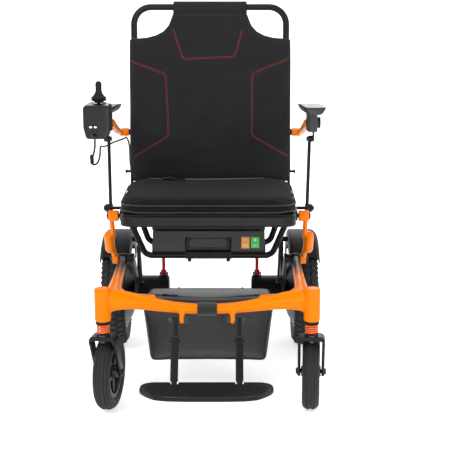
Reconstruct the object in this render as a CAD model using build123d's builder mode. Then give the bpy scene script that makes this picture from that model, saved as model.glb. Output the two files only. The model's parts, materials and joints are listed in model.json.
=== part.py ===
"""Folding power wheelchair.

Millimetres, +Z up, the occupant faces -Y and sits with the left hand at +X.
The origin is on the floor under the middle of the chair's bounding box. The drawing
coordinates below have their Y zero at the pivot of the side arms, and save() moves it.
Names ending in _left stand at +X, names ending in _right at -X.
"""
import os
from math import atan2, cos, degrees, radians, sin, tan

from build123d import *

# Driving dimensions ---------------------------------------------------------
seat_width = 420.0          # outside of the seat frame
seat_depth = 396.0
seat_front = -170.0         # front face of the seat frame
seat_top = 434.0            # top of the seat frame at its front
seat_tilt = 2.0             # degrees, lower at the back
frame_height = 26.0
frame_wall = 26.0           # width of the ring that the seat frame is made of
board_thick = 3.0
cushion_thick = 31.0
cushion_over = 4.0          # how far the cushion stands out past the frame, each side

back_top = 906.0            # centre of the top tube of the backrest
back_half = 204.0           # centre of the back posts from the middle
back_tube_r = 8.5
back_foot_y, back_foot_z = 267.0, 440.0
back_top_y = 302.0

wheel_r = 152.0             # drive wheel
wheel_y = 200.0
tyre_width = 61.0
tyre_mid = 254.0            # middle of the drive tyre from the middle of the chair
caster_r = 89.0
caster_width = 40.0
caster_half = 237.0         # swivel axes from the middle
swivel_y = -325.0
caster_trail = 45.0
caster_turn_left = -4.5     # degrees that each caster has swivelled at rest
caster_turn_right = -9.0
overall_half = 296.0        # half of the overall width, at the hub caps
overall_rear = 448.0        # rearmost point, at the anti-tip wheels
overall_front = -573.0      # foremost point, at the footplate
origin_y = (overall_front + overall_rear) / 2   # middle of the box, in drawing coordinates

bow_r = 11.5                # half height of the bow in its middle
head_r = 18.5               # caster heads of the bow
head_low, head_high = 226.0, 303.0
leg_half = 218.5            # middle of the bow's legs
leg_r = 10.0

# Linkage pivots, as (Y, Z)
link_base = (0.0, 288.0)    # orange side arm on the bow's leg
link_seat = (-80.0, 417.0)  # orange side arm on the seat frame
rear_base = (115.0, 200.0)  # rear link on the side plate
back_hinge = (190.0, 413.0)
strut_seat = (-40.0, 428.0)
strut_arm = (47.0, 588.0)

# Backrest hinge plates, outside the seat frame
hinge_plate_in, hinge_plate_out = 210.7, 217.7
hinge_pin_r = 5.0

# Clearances -----------------------------------------------------------------
run_gap = 0.05              # radial, a pin in its bore
soft_gap = 0.4              # soft or curved faces beside another piece
side_gap = 0.5              # between a pivoting eye and the piece beside it
open_gap = 0.8              # radial, at the pivot where the arm linkage is left open

os.makedirs("parts", exist_ok=True)


def save(piece, name):
    """Put one finished piece in the chair's frame, label it and write it."""
    piece = Pos(0, -origin_y, 0) * piece
    piece.label = name
    export_step(piece, f"parts/{name}.step")


def save_pair(piece, name):
    """Write a piece made at +X and its mirror image at -X, each in its own node."""
    save(piece, name + "_left")
    save(mirror(piece, about=Plane.YZ), name + "_right")


def both(piece):
    """A piece made at +X together with its mirror image at -X, as separate solids."""
    return Compound([*piece.solids(), *mirror(piece, about=Plane.YZ).solids()])


def group(*pieces):
    """Several pieces in one node, each still its own solid."""
    return Compound([solid for piece in pieces for solid in piece.solids()])


def along(start, end):
    """A plane at start whose normal points at end."""
    return Plane(origin=start, z_dir=Vector(*end) - Vector(*start))


def span(start, end):
    """Distance between two points."""
    return (Vector(*end) - Vector(*start)).length


def rod(start, end, radius, mode=Mode.ADD):
    """A round bar from start to end, in the part that is being built."""
    with BuildSketch(along(start, end)) as section:
        Circle(radius)
    extrude(section.sketch, amount=span(start, end), mode=mode)


def cross_rod(x_from, x_to, yz, radius, mode=Mode.ADD):
    """A round bar along X at a (Y, Z) point, in the part that is being built."""
    rod((x_from, *yz), (x_to, *yz), radius, mode)


def strap_plate(x_from, x_to, ends):
    """A flat bar across X, rounded round each (Y, Z, radius) in ends, one hull per pair."""
    for (y1, z1, r1), (y2, z2, r2) in zip(ends, ends[1:]):
        with BuildSketch(Plane.YZ.offset(x_from)) as outline:
            with BuildLine():
                CenterArc((y1, z1), r1, 0, 360)
                CenterArc((y2, z2), r2, 0, 360)
            make_hull()
        extrude(outline.sketch, amount=x_to - x_from)


def tube_run(points, radii, radius):
    """A round bar that follows straight runs joined by arcs."""
    with BuildLine() as route:
        FilletPolyline(*points, radius=radii)
    path = route.wires()[0]
    with BuildSketch(Plane(origin=path @ 0, z_dir=path % 0)) as section:
        Circle(radius)
    sweep(section.sketch, path=path)


def cord_radii(points):
    """Arc radii for a cord: 0.45 of the shorter run over the tangent of half the turn."""
    radii = []
    for a, b, c in zip(points, points[1:], points[2:]):
        before, after = Vector(*b) - Vector(*a), Vector(*c) - Vector(*b)
        turn = radians(before.get_angle(after))
        radii.append(0.45 * min(before.length, after.length) / tan(turn / 2))
    return radii


# Seat plane: X across, Y back and down the slope, Z off the seat -------------
tilt = radians(seat_tilt)
seat_normal = (0, sin(tilt), cos(tilt))


def seat_plane(lift):
    """The plane through the seat frame's top front edge, moved off it by lift."""
    return Plane(origin=(0, seat_front, seat_top), x_dir=(1, 0, 0), z_dir=seat_normal).offset(lift)


def below_plane(plane):
    """Cut away what stands above a plane, in the part that is being built."""
    with BuildSketch(plane) as cover:
        Rectangle(4 * seat_width, 4 * seat_depth)
    extrude(cover.sketch, amount=100, mode=Mode.SUBTRACT)


# Front bow: caster heads, cross member, legs and footrest lugs ---------------
pin_z, pin_y = 236.0, -350.0        # footrest pivot
lug_half, lug_thick, lug_r = 57.0, 11.0, 9.0
pin_r = 4.0
stem_r = 7.0
stem_travel = 12.0
stem_top = 280.0
bow_stations = [                    # X, Y, Z, half depth, half height of each section
    (-222, -318, 270, 17, 26), (-170, -322, 272, 15, 20), (-100, -330, 263, 14.5, 14),
    (0, -335, 257, 14, bow_r),
    (100, -330, 263, 14.5, 14), (170, -322, 272, 15, 20), (222, -318, 270, 17, 26)]
leg_route = [(-312, 276), (-180, 273), (-80, 280), (0, 288)]   # Y, Z of the leg's middle
pivot_boss_r, side_boss_r = 14.0, 12.0
plate_in, plate_out = 190.0, 198.0    # faces of the side plates
gusset_back, gusset_low, gusset_high = -205.0, 262.0, 285.0     # web between bow and leg

with BuildPart() as front_bow:
    for x, y, z, ry, rz in bow_stations:
        with BuildSketch(Plane.YZ.offset(x)):
            with Locations((y, z)):
                Ellipse(ry, rz)
    loft()
    for side in (-1, 1):
        with BuildSketch(Plane.XY.offset(head_low)):
            with Locations((side * caster_half, swivel_y)):
                Circle(head_r)
        extrude(amount=head_high - head_low)
        stations = [(side * leg_half, y, z) for y, z in leg_route]
        with BuildLine() as leg_line:
            Spline(*stations)
        leg_start = leg_line.wires()[0]
        with BuildSketch(Plane(origin=leg_start @ 0, x_dir=(1, 0, 0), z_dir=leg_start % 0)):
            RectangleRounded(3 * leg_r, 38, 8)
        with BuildSketch(Plane(origin=leg_start @ 1, x_dir=(1, 0, 0), z_dir=leg_start % 1)):
            RectangleRounded(2 * leg_r, 22, 8)
        sweep(path=leg_start, multisection=True)
        cross_rod(side * (leg_half - leg_r), side * (leg_half + leg_r), link_base, pivot_boss_r)
        with BuildSketch(Plane.XY.offset(gusset_low)):
            with BuildLine():
                web = Spline((side * 205, gusset_back), (side * 118, -312),
                             tangents=((0, -1), (-side, 0)))
                Polyline(web @ 1, (side * 118, -324), (side * 215, -320), (side * 215, gusset_back),
                         web @ 0)
            make_face()
        extrude(amount=gusset_high - gusset_low)
        x_lug = side * (lug_half - lug_thick / 2)
        strap_plate(min(x_lug, x_lug + side * lug_thick), max(x_lug, x_lug + side * lug_thick),
                    [(pin_y, pin_z, lug_r), (-337, 254, 9)])
        with BuildSketch(Plane.XY.offset(head_low)):
            with Locations((side * caster_half, swivel_y)):
                Circle(stem_r + run_gap)
        extrude(amount=stem_top + stem_travel + 2 - head_low, mode=Mode.SUBTRACT)
        cross_rod(side * (lug_half - lug_thick), side * (lug_half + lug_thick), (pin_y, pin_z),
                  pin_r, Mode.SUBTRACT)
        cross_rod(side * (leg_half - 2 * leg_r), side * (leg_half + 2 * leg_r), link_base,
                  5.0, Mode.SUBTRACT)
        cross_rod(side * plate_out, side * (leg_half - leg_r), link_base, side_boss_r,
                  Mode.SUBTRACT)
save(front_bow.part, "front_bow")

with BuildPart() as footrest_pins:
    for side in (-1, 1):
        cross_rod(side * 45, side * 83, (pin_y, pin_z), pin_r)
        cross_rod(side * 44, side * (lug_half - lug_thick / 2), (pin_y, pin_z), 6.0)
        cross_rod(side * 79, side * 85, (pin_y, pin_z), 6.0)

# Side plates, cross tubes and drive mounts ------------------------------------
motor_r = 37.0
axle = (wheel_y, wheel_r)
front_tube = (100.0, 155.0)
rear_tube = (262.0, 125.0)
cross_r = 11.0
stay = (200.0, 292.0)
link_pin_r = 4.0
link_in, link_out = 178.0, 184.0    # faces of the rear link, inside the side plate

with BuildPart() as side_plate:
    strap_plate(plate_in, plate_out, [(*link_base, 14), (*rear_base, 14), (*front_tube, 18)])
    strap_plate(plate_in, plate_out, [(*front_tube, 18), (*axle, 47), (*rear_tube, 17)])
    strap_plate(plate_in, plate_out, [(*axle, 30), (*stay, 9)])
    cross_rod(plate_out, leg_half - leg_r, link_base, side_boss_r)
    cross_rod(plate_out, 209.5, stay, 7.0)
    cross_rod(plate_in, plate_out, axle, motor_r + 0.2, Mode.SUBTRACT)
    cross_rod(plate_in, plate_out, rear_base, link_pin_r + 0.01, Mode.SUBTRACT)
save(both(side_plate.part), "side_plates")

with BuildPart() as cross_tubes:
    for yz in (front_tube, rear_tube):
        cross_rod(-plate_in, plate_in, yz, cross_r)
save(cross_tubes.part, "cross_tubes")

with BuildPart() as link_pins:
    for side in (-1, 1):
        cross_rod(side * (link_in - side_gap), side * plate_out, rear_base, link_pin_r)
        cross_rod(side * (link_in - side_gap - 3), side * (link_in - side_gap), rear_base, 7.0)
        cross_rod(side * (leg_half - leg_r + 1), side * 246, link_base, 4.95)
        cross_rod(side * 246, side * 249, link_base, 8.0)
save(group(footrest_pins.part, link_pins.part), "pivot_pins")

# Drive: fixed motor and brake can, in-wheel hub, tyre, fender, clutch lever --
can_in = 112.0
hub_face = 204.0
lever_x = 127.0
lever_pivot, lever_top = wheel_r + motor_r + 7, 246.0

with BuildPart() as drive_motor:
    cross_rod(can_in, hub_face - 0.5, axle, motor_r)
    fillet(drive_motor.edges().filter_by(GeomType.CIRCLE).sort_by(Axis.X)[0], 5)
    cross_rod(lever_x - 7.5, lever_x + 7.5, axle, motor_r + 2.5)
    cross_rod(hub_face - 0.5, tyre_mid + 22, axle, 8.0)

with BuildPart() as lever:
    strap_plate(lever_x - 7.5, lever_x + 7.5,
                [(wheel_y, lever_pivot, 4), (wheel_y, lever_pivot + 6, 4)])
    with BuildSketch(Plane.XY.offset(lever_pivot + 8)):
        with Locations((lever_x, wheel_y)):
            RectangleRounded(8.7, 7, 2)
    extrude(amount=lever_top - lever_pivot - 8)
    cross_rod(lever_x - 10, lever_x + 10, (wheel_y, lever_pivot), 2.6, Mode.SUBTRACT)
save_pair(lever.part, "clutch_lever")

with BuildPart() as lever_post:
    for x in (lever_x - 11.5, lever_x + 8.5):
        with BuildSketch(Plane.YZ.offset(x)):
            with Locations((wheel_y, lever_pivot - 3)):
                RectangleRounded(12, 13, 2)
        extrude(amount=3)
    cross_rod(lever_x - 9, lever_x + 9, (wheel_y, lever_pivot), 2.5)
    cross_rod(can_in, hub_face, axle, motor_r + 0.02, Mode.SUBTRACT)
    cross_rod(lever_x - 7.5, lever_x + 7.5, axle, motor_r + 2.52, Mode.SUBTRACT)
save(both(group(drive_motor.part, lever_post.part)), "drive_motors")


def turned(outline):
    """Turn an outline of (X, radius) points round the X axis through the origin."""
    with BuildSketch(Plane.XZ) as profile:
        with BuildLine():
            Polyline(*outline, close=True)
        make_face()
    revolve(profile.sketch, axis=Axis.X)


rim_r = 106.0
with BuildPart() as drive_rim:
    turned([(hub_face, 9), (hub_face, 58), (210, 72), (231, 101), (226, 103), (226, rim_r),
            (282, rim_r), (282, 98), (262, 96), (262, 40), (284, 34), (284, 9)])
with BuildPart() as drive_tyre:
    with BuildSketch(Plane.XZ):
        with Locations((tyre_mid, wheel_r - 26)):
            Ellipse(tyre_width / 2, 26)
        with Locations((tyre_mid, rim_r - 20)):
            Rectangle(tyre_width + 2, 40, mode=Mode.SUBTRACT)
    revolve(axis=Axis.X)
with BuildPart() as hub_cap:
    turned([(284, 0), (284, 33), (291, 30), (overall_half, 18), (overall_half, 0)])
with BuildPart() as hub_bolts:
    with BuildSketch(Plane.YZ.offset(hub_face)):
        with PolarLocations(50, 6):
            RegularPolygon(6, 6)
    extrude(amount=-4)
to_axle = Pos(0, wheel_y, wheel_r)
save_pair(to_axle * group(drive_rim.part, hub_cap.part, hub_bolts.part), "drive_rim")
save_pair(to_axle * drive_tyre.part, "drive_tyre")

fender_r = wheel_r + 12
fender_start, fender_sweep = 46.0, 105.0     # degrees from straight ahead, over the top
start = radians(fender_start)
fender_plane = Plane(origin=(0, wheel_y, wheel_r), x_dir=(1, 0, 0),
                     z_dir=(0, -sin(start), -cos(start)))
with BuildPart() as fender:
    with BuildSketch(fender_plane):
        with BuildLine():
            FilletPolyline((209.5, 122), (209.5, fender_r), (290, fender_r), (290, 136),
                           radius=[8, 22])
            offset(amount=-3, side=Side.RIGHT, closed=True, mode=Mode.ADD)
        make_face()
    revolve(axis=Axis((0, wheel_y, wheel_r), (1, 0, 0)), revolution_arc=-fender_sweep)
save(both(fender.part), "fenders")

# Rear links -------------------------------------------------------------------
rear_seat = (rear_base[0] + link_seat[0] - link_base[0], rear_base[1] + link_seat[1] - link_base[1])
with BuildPart() as rear_link:
    strap_plate(link_in, link_out, [(*rear_base, 8), (*rear_seat, 8)])
    cross_rod(link_out, plate_in - side_gap, rear_base, 7.0)
    cross_rod(link_in, plate_in, rear_base, link_pin_r + run_gap, Mode.SUBTRACT)
    cross_rod(link_in, link_out, rear_seat, link_pin_r + open_gap, Mode.SUBTRACT)
save(both(rear_link.part), "rear_links")

# Side arms (the coloured links in front) ----------------------------------------
arm_x = 238.0
elbow_x, elbow_r = 248.5, 12.8
dy, dz = link_base[0] - link_seat[0], link_base[1] - link_seat[1]


def arm_point(share, x):
    """A point on the side arm, a share of the way from the seat pivot to the base pivot."""
    return (x, link_seat[0] + share * dy, link_seat[1] + share * dz)


with BuildPart() as side_arm:
    cross_rod(219.5, 245, link_seat, 13.5)
    rod(arm_point(0, arm_x), arm_point(0.5, arm_x), 6.2)
    rod(arm_point(0.46, elbow_x), arm_point(0.75, elbow_x), elbow_r)
    with Locations(arm_point(0.46, elbow_x), arm_point(0.75, elbow_x)):
        Sphere(elbow_r)
    cross_rod(229, 245, link_base, 13.0)
    rod(arm_point(0.75, 242), arm_point(1, 238), 7.0)
    cross_rod(200, 270, link_base, 5.0, Mode.SUBTRACT)
    cross_rod(200, 246, link_seat, 5.0 + run_gap, Mode.SUBTRACT)
    with BuildSketch(Plane.YZ.offset(180)):
        with Locations(link_base):
            Circle(20)
    extrude(amount=229 - 180, mode=Mode.SUBTRACT)
save(both(side_arm.part), "side_arms")

# Seat frame, board, cushion ----------------------------------------------------
with BuildPart() as seat_frame:
    with BuildSketch(seat_plane(-frame_height)):
        with Locations((0, seat_depth / 2)):
            RectangleRounded(seat_width, seat_depth, 30)
            RectangleRounded(seat_width - 2 * frame_wall, seat_depth - 2 * frame_wall, 10,
                             mode=Mode.SUBTRACT)
    extrude(amount=frame_height)
    fillet(seat_frame.edges().group_by(SortBy.LENGTH)[-1], 4)
save(seat_frame.part, "seat_frame")

with BuildPart() as seat_board:
    with BuildSketch(seat_plane(0)):
        with Locations((0, seat_depth / 2)):
            RectangleRounded(seat_width - 8, seat_depth - 8, 26)
    extrude(amount=board_thick)
save(seat_board.part, "seat_board")

cushion_width = seat_width + 2 * cushion_over
cushion_front = -6.0
cushion_depth = 370.0
with BuildPart() as seat_cushion:
    with BuildSketch(seat_plane(board_thick + soft_gap)):
        with Locations((0, cushion_front + cushion_depth / 2)):
            RectangleRounded(cushion_width, cushion_depth, 56)
    extrude(amount=cushion_thick)
    fillet(seat_cushion.edges().group_by(Axis.Z)[-1], 9)
save(seat_cushion.part, "seat_cushion")

# Brackets on the seat frame with the pins of the side arms, struts and rear links
with BuildPart() as seat_bracket:
    strap_plate(seat_width / 2 + 0.2, seat_width / 2 + 7.2,
                [(*link_seat, 12), (strut_seat[0], strut_seat[1] - 6, 10)])
    cross_rod(seat_width / 2 + 7, 245, link_seat, 5.0)
    cross_rod(245, 248, link_seat, 9.0)
    cross_rod(seat_width / 2 + 7, 256, (strut_seat[0], strut_seat[1]), 3.95)
    cross_rod(256, 259, (strut_seat[0], strut_seat[1]), 7.0)

with BuildPart() as rear_lug:
    strap_plate(link_out + side_gap, link_out + 4.5, [(*rear_seat, 8), (rear_seat[0], 395, 12)])
    cross_rod(link_in - side_gap, link_out + 4.5, rear_seat, link_pin_r)
    cross_rod(link_in - side_gap - 3, link_in - side_gap, rear_seat, 7.0)
    below_plane(seat_plane(-frame_height))

with BuildPart() as hinge_pin:
    cross_rod(seat_width / 2 + 0.1, hinge_plate_out + 0.4, back_hinge, hinge_pin_r)
    cross_rod(hinge_plate_out + 0.4, hinge_plate_out + 3.4, back_hinge, 9.0)
save(both(group(seat_bracket.part, rear_lug.part, hinge_pin.part)), "seat_brackets")

# Battery, its cradle and the control box ----------------------------------------
battery_half, battery_low, battery_high = 137.5, 327.0, 380.0
battery_front, battery_back = -84.0, 76.0
tray_gap = 0.4
with BuildPart() as battery_case:
    with BuildSketch(Plane.XZ.offset(-battery_front)):
        with Locations((0, (battery_low + battery_high) / 2)):
            RectangleRounded(2 * battery_half, battery_high - battery_low, 5)
    extrude(amount=battery_front - battery_back)
    with BuildSketch(Plane.XZ.offset(-battery_front)):
        with Locations((-1.5, 345)):
            RectangleRounded(112, 35.6, 4)
    extrude(amount=-17, mode=Mode.SUBTRACT)
with BuildPart() as battery_grip:
    with BuildSketch(Plane.XZ.offset(-battery_front + 2)):
        with Locations((-1.5, 349)):
            RectangleRounded(93, 22, 5)
    extrude(amount=-9)
    with BuildSketch(Plane.XZ.offset(-battery_front - 7)):
        with Locations((-38, 349), (35, 349)):
            Rectangle(8, 14)
    extrude(amount=-10)
save(group(battery_case.part, battery_grip.part), "battery_case")

cradle_r = 7.5
tray_low = battery_low - tray_gap - 3
hoop_z = tray_low - cradle_r
with BuildPart() as battery_cradle:
    for y_top, y_low in ((-122, -76), (66, 60)):
        tube_run([(-188, y_top, 410), (-155, y_low, hoop_z), (155, y_low, hoop_z),
                  (188, y_top, 410)], [24, 24], cradle_r)
    below_plane(seat_plane(-frame_height))
with BuildPart() as battery_tray:
    with BuildSketch(Plane.XY.offset(tray_low)):
        with Locations((0, (battery_front + battery_back) / 2 + 6)):
            RectangleRounded(2 * battery_half + 5.4, battery_back - battery_front, 6)
    extrude(amount=3)
    with BuildSketch(Plane.XY.offset(tray_low + 3)):
        for side in (-1, 1):
            with Locations((side * (battery_half + 1.7), (battery_front + battery_back) / 2 + 6)):
                Rectangle(2, battery_back - battery_front - 20)
    extrude(amount=18)
with BuildPart() as battery_latch:
    with BuildSketch(Plane.XZ.offset(-battery_front + 3)):
        with Locations((0, 318)):
            RectangleRounded(120, 16, 4)
    extrude(amount=-3)
    with BuildSketch(Plane.XZ.offset(-battery_front + 3)):
        with Locations((0, 321)):
            Circle(4.5)
        with Locations((-47, 308), (48, 308)):
            Circle(5)
    extrude(amount=4)
with BuildPart() as battery_rail:
    for side in (-1, 1):
        with BuildSketch(Plane.XY.offset(battery_high + 1)):
            with Locations((side * 132, -10)):
                Rectangle(12, 150)
        extrude(amount=60)
    with BuildSketch(Plane.XZ.offset(-battery_front + 8)):
        with Locations((0, 392)):
            RectangleRounded(276, 12, 3)
    extrude(amount=-8)
    below_plane(seat_plane(0))
with BuildPart() as control_box:
    with BuildSketch(Plane.XY.offset(352)):
        with Locations((0, 130)):
            RectangleRounded(150, 76, 6)
    extrude(amount=34)
    fillet(control_box.faces().sort_by(Axis.Z)[0].edges(), 4)
    with BuildSketch(Plane.XY.offset(386)):
        with Locations((-60, 130), (60, 130)):
            Circle(5)
    extrude(amount=40)
    below_plane(seat_plane(0))
save(group(battery_cradle.part, battery_tray.part, battery_latch.part, battery_rail.part),
     "battery_cradle")
save(control_box.part, "control_box")

# Backrest: hoop, hinge plates, cover, flap --------------------------------------
back_rise = back_top - back_foot_z
back_lean = (back_top_y - back_foot_y) / back_rise


def back_y(z):
    """Where the leaning back tube stands at a height."""
    return back_foot_y + (z - back_foot_z) * back_lean


hoop_corner = 46.0
low_bar_z = 520.0
arm_pivot = (back_hinge[0] + strut_arm[0] - strut_seat[0], back_hinge[1] + strut_arm[1] - strut_seat[1])
with BuildPart() as back_frame:
    tube_run([(-back_half, back_foot_y, back_foot_z), (-back_half, back_top_y, back_top),
              (back_half, back_top_y, back_top), (back_half, back_foot_y, back_foot_z)],
             [hoop_corner, hoop_corner], back_tube_r)
    rod((-back_half, back_y(low_bar_z), low_bar_z), (back_half, back_y(low_bar_z), low_bar_z), 7)
    for side in (-1, 1):
        strap_plate(*sorted((side * hinge_plate_in, side * hinge_plate_out)),
                    [(*back_hinge, 12), (back_foot_y, 430, 9), (back_y(460), 460, 8)])
        cross_rod(side * 200, side * 225, back_hinge, hinge_pin_r + run_gap, Mode.SUBTRACT)
        cross_rod(side * 208, side * 221, arm_pivot, back_tube_r)
        cross_rod(side * 221, side * 247, arm_pivot, 4.95)
        cross_rod(side * 247, side * 249.5, arm_pivot, 7.0)
        cross_rod(side * back_half, side * 228, (back_y(466), 466), 3.5)
        cross_rod(side * 228, side * 231, (back_y(466), 466), 5.5)
save(back_frame.part, "back_frame")

cover_half, neck_half = 220.0, 98.0
cover_foot = 439.0
cover_front = 23.5          # front face of the cover, ahead of the tubes' middle
cover_thick = cover_front - back_tube_r - soft_gap
lean = degrees(atan2(back_top_y - back_foot_y, back_rise))
cover_plane = Plane(origin=(0, back_foot_y - cover_front, back_foot_z), x_dir=(1, 0, 0),
                    z_dir=(0, -cos(radians(lean)), sin(radians(lean))))
with BuildPart() as back_cover:
    with BuildSketch(cover_plane):
        with BuildLine():
            right = Polyline((0, cover_foot - back_foot_z), (186, cover_foot - back_foot_z))
            corner = RadiusArc(right @ 1, (cover_half, 36), -34)
            flank = Spline(corner @ 1, (cover_half + 1, 200), (cover_half - 3, 384),
                           tangents=((0, 1), (-0.02, 1)))
            shoulder = Spline(flank @ 1, (172, 388), (128, 404), (103, 436), (neck_half, 458),
                              tangents=((-1, 0.02), (-0.1, 1)))
            Line(shoulder @ 1, (0, 458))
            mirror(about=Plane.YZ)
        make_face()
    extrude(amount=-cover_thick)
save(back_cover.part, "back_cover")

flap_gap = 1.0
flap_thick = 3.5
with BuildPart() as head_flap:
    with BuildSketch(Plane.YZ.offset(-neck_half)):
        with Locations((back_top_y, back_top)):
            Circle(back_tube_r + flap_gap + flap_thick)
            Circle(back_tube_r + flap_gap, mode=Mode.SUBTRACT)
    extrude(amount=2 * neck_half)
save(head_flap.part, "head_flap")

# Armrests -------------------------------------------------------------------------
pad_half, pad_wide, pad_long, pad_thick = 257.0, 55.0, 262.0, 22.0
pad_front, pad_slope = (-78.0, 662.0), 4.5      # underside at the front end; degrees
rise = radians(pad_slope)
pad_plane = Plane(origin=(pad_half, *pad_front), x_dir=(1, 0, 0), z_dir=(0, -cos(rise), sin(rise)))
housing_plane = Plane(origin=(pad_half + 2, *pad_front), x_dir=(1, 0, 0),
                      z_dir=(0, sin(rise), cos(rise)))
housing_at, housing_long, housing_wide, housing_tall = 140.0, 84.0, 24.0, 46.0
with BuildPart() as arm_pad:
    with BuildSketch(pad_plane):
        with BuildLine():
            foot = Line((0, 0), (13, 0))
            belly = Spline(foot @ 1, (21.5, 4), (pad_wide / 2, 14), tangents=((1, 0), (0.3, 1)))
            edge = Line(belly @ 1, (pad_wide / 2, 17))
            top = RadiusArc(edge @ 1, (pad_wide / 2 - 6, pad_thick), -6)
            Line(top @ 1, (0, pad_thick))
            mirror(about=Plane.YZ)
        make_face()
    extrude(amount=-pad_long)
save_pair(arm_pad.part, "arm_pad")

with BuildPart() as arm_clamp:
    with BuildSketch(housing_plane):
        with Locations((0, housing_at)):
            RectangleRounded(housing_wide, housing_long, 8)
    extrude(amount=-housing_tall)
    fillet(arm_clamp.faces().sort_by(Axis.Z)[0].edges(), 3)
    strap_plate(261, 265, [(*strut_arm, 8), (strut_arm[0] + 14, 616, 9)])
    cross_rod(248, 261, strut_arm, 3.5)
    cross_rod(245, 248, strut_arm, 6.5)
save_pair(arm_clamp.part, "arm_clamp")

arm_tube_r = 9.5
housing_rear = housing_plane.from_local_coords((0, housing_at + housing_long / 2, -26))
with BuildPart() as arm_tube:
    tube_run([(226, *arm_pivot), (247, *arm_pivot),
              (247, (arm_pivot[0] + housing_rear.Y) / 2, 592),
              (250, housing_rear.Y + 0.1, housing_rear.Z)], [14, 60], arm_tube_r)
    cross_rod(221.5, 246, arm_pivot, 11.0)
    cross_rod(210, 246, arm_pivot, 4.95 + run_gap, Mode.SUBTRACT)
    cross_rod(246, 250.5, arm_pivot, 7.6, Mode.SUBTRACT)
    with BuildSketch(housing_plane.offset(10)):
        with Locations((0, housing_at)):
            Rectangle(housing_wide + 40, housing_long + 0.1)
    extrude(amount=-80, mode=Mode.SUBTRACT)
save_pair(arm_tube.part, "arm_tube")

knob_at = housing_plane.from_local_coords((0, housing_at, -24))
with BuildPart() as arm_knob:
    with BuildSketch(Plane.YZ.offset(271.5)):
        with Locations((knob_at.Y, knob_at.Z)):
            Circle(14)
            with PolarLocations(14.5, 8):
                Circle(2.2, mode=Mode.SUBTRACT)
    extrude(amount=9)
save_pair(arm_knob.part, "arm_knob")

with BuildPart() as strut:
    rod((243, *strut_seat), (253, *strut_arm), 4.2)
    cross_rod(238, 255, strut_seat, 10.0)
    cross_rod(249.5, 260, strut_arm, 8.0)
    cross_rod(230, 262, strut_seat, 4.0, Mode.SUBTRACT)
    cross_rod(240, 262, strut_arm, 3.5 + open_gap, Mode.SUBTRACT)
save_pair(strut.part, "strut")

# Drive control on the right armrest -------------------------------------------------
pod_x, pod_low, pod_high = -261.5, 614.0, 694.0
pod_front, pod_back = -146.0, -84.0
pod_wide, pod_foot_wide = 63.0, 50.0
stick_x, stick_y = -257.0, -121.0
button_r, button_y = 5.0, -96.0
button_xs = (-276.0, -247.0)
button_travel = 1.5
with BuildPart() as control_pod:
    with BuildSketch(Plane.XZ.offset(-pod_front)):
        with BuildLine():
            FilletPolyline((pod_x - pod_foot_wide / 2, pod_low), (pod_x - pod_wide / 2, pod_low + 26),
                           (pod_x - pod_wide / 2, pod_high), (pod_x + pod_wide / 2, pod_high),
                           (pod_x + pod_wide / 2, pod_low + 26), (pod_x + pod_foot_wide / 2, pod_low),
                           close=True, radius=[9, 16, 9, 9, 16, 9])
        make_face()
    extrude(amount=pod_front - pod_back)
    fillet(control_pod.faces().sort_by(Axis.Y)[0].edges(), 5)
    for x in button_xs:
        rod((x, button_y, pod_high - 4), (x, button_y, pod_high + 5), button_r + 0.2, Mode.SUBTRACT)
    rod((stick_x, stick_y, pod_high - 20), (stick_x, stick_y, pod_high + 5), 15, Mode.SUBTRACT)
    rod((-266, pod_front - 1, 626), (-266, pod_front + 8, 626), 6.0, Mode.SUBTRACT)

with BuildPart() as charge_socket:
    rod((-266, pod_front - 1, 626), (-266, pod_front + 7.5, 626), 5.8)
    rod((-266, pod_front - 1, 626), (-266, pod_front + 4, 626), 3.6, Mode.SUBTRACT)

stick_pivot_z = pod_high - 8
with BuildPart() as stick_gimbal:
    turned([(-14.7, 0), (-14.7, 2.6), (-5, 2.6), (-3.2, 4.6), (0, 5.5), (3.2, 4.6), (5, 2.6),
            (14.7, 2.6), (14.7, 0)])
save(Pos(stick_x, stick_y, stick_pivot_z) * stick_gimbal.part, "stick_gimbal")

with BuildPart() as joystick:
    with BuildSketch(Plane.XZ):
        with BuildLine():
            Polyline((0, 5.8), (3, 5.8), (4, 12), (10.5, 12.8), (14, 18), (23, 21), (23, 23.5),
                     (7, 30), (5, 40), (6, 44), (9.5, 49), (9.5, 57), (6.5, 61.5), (0, 62.5), close=True)
        make_face()
    revolve(axis=Axis.Z)
save(Pos(stick_x, stick_y, stick_pivot_z) * joystick.part, "joystick")

for button_name, x in zip(("power_button", "horn_button"), button_xs):
    with BuildPart() as button:
        rod((x, button_y, pod_high - 4 + button_travel + 0.3), (x, button_y, pod_high + 2), button_r)
    save(button.part, button_name)

with BuildPart() as pod_arm:
    with BuildSketch(Plane.XZ.offset(-pod_back)):
        with Locations((-257, 634)):
            RectangleRounded(13, 15, 4)
    extrude(amount=pod_back - 17)
save(group(control_pod.part, charge_socket.part, pod_arm.part), "control_pod")

# Footrest ---------------------------------------------------------------------------
hanger_half = 72.0
hinge = (-438.0, 112.0)             # footplate hinge


def hanger_point(share):
    """(Y, Z) a share of the way down the hanger, from its pivot to the footplate hinge."""
    return (pin_y + share * (hinge[0] - pin_y), pin_z + share * (hinge[1] - pin_z))


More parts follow.
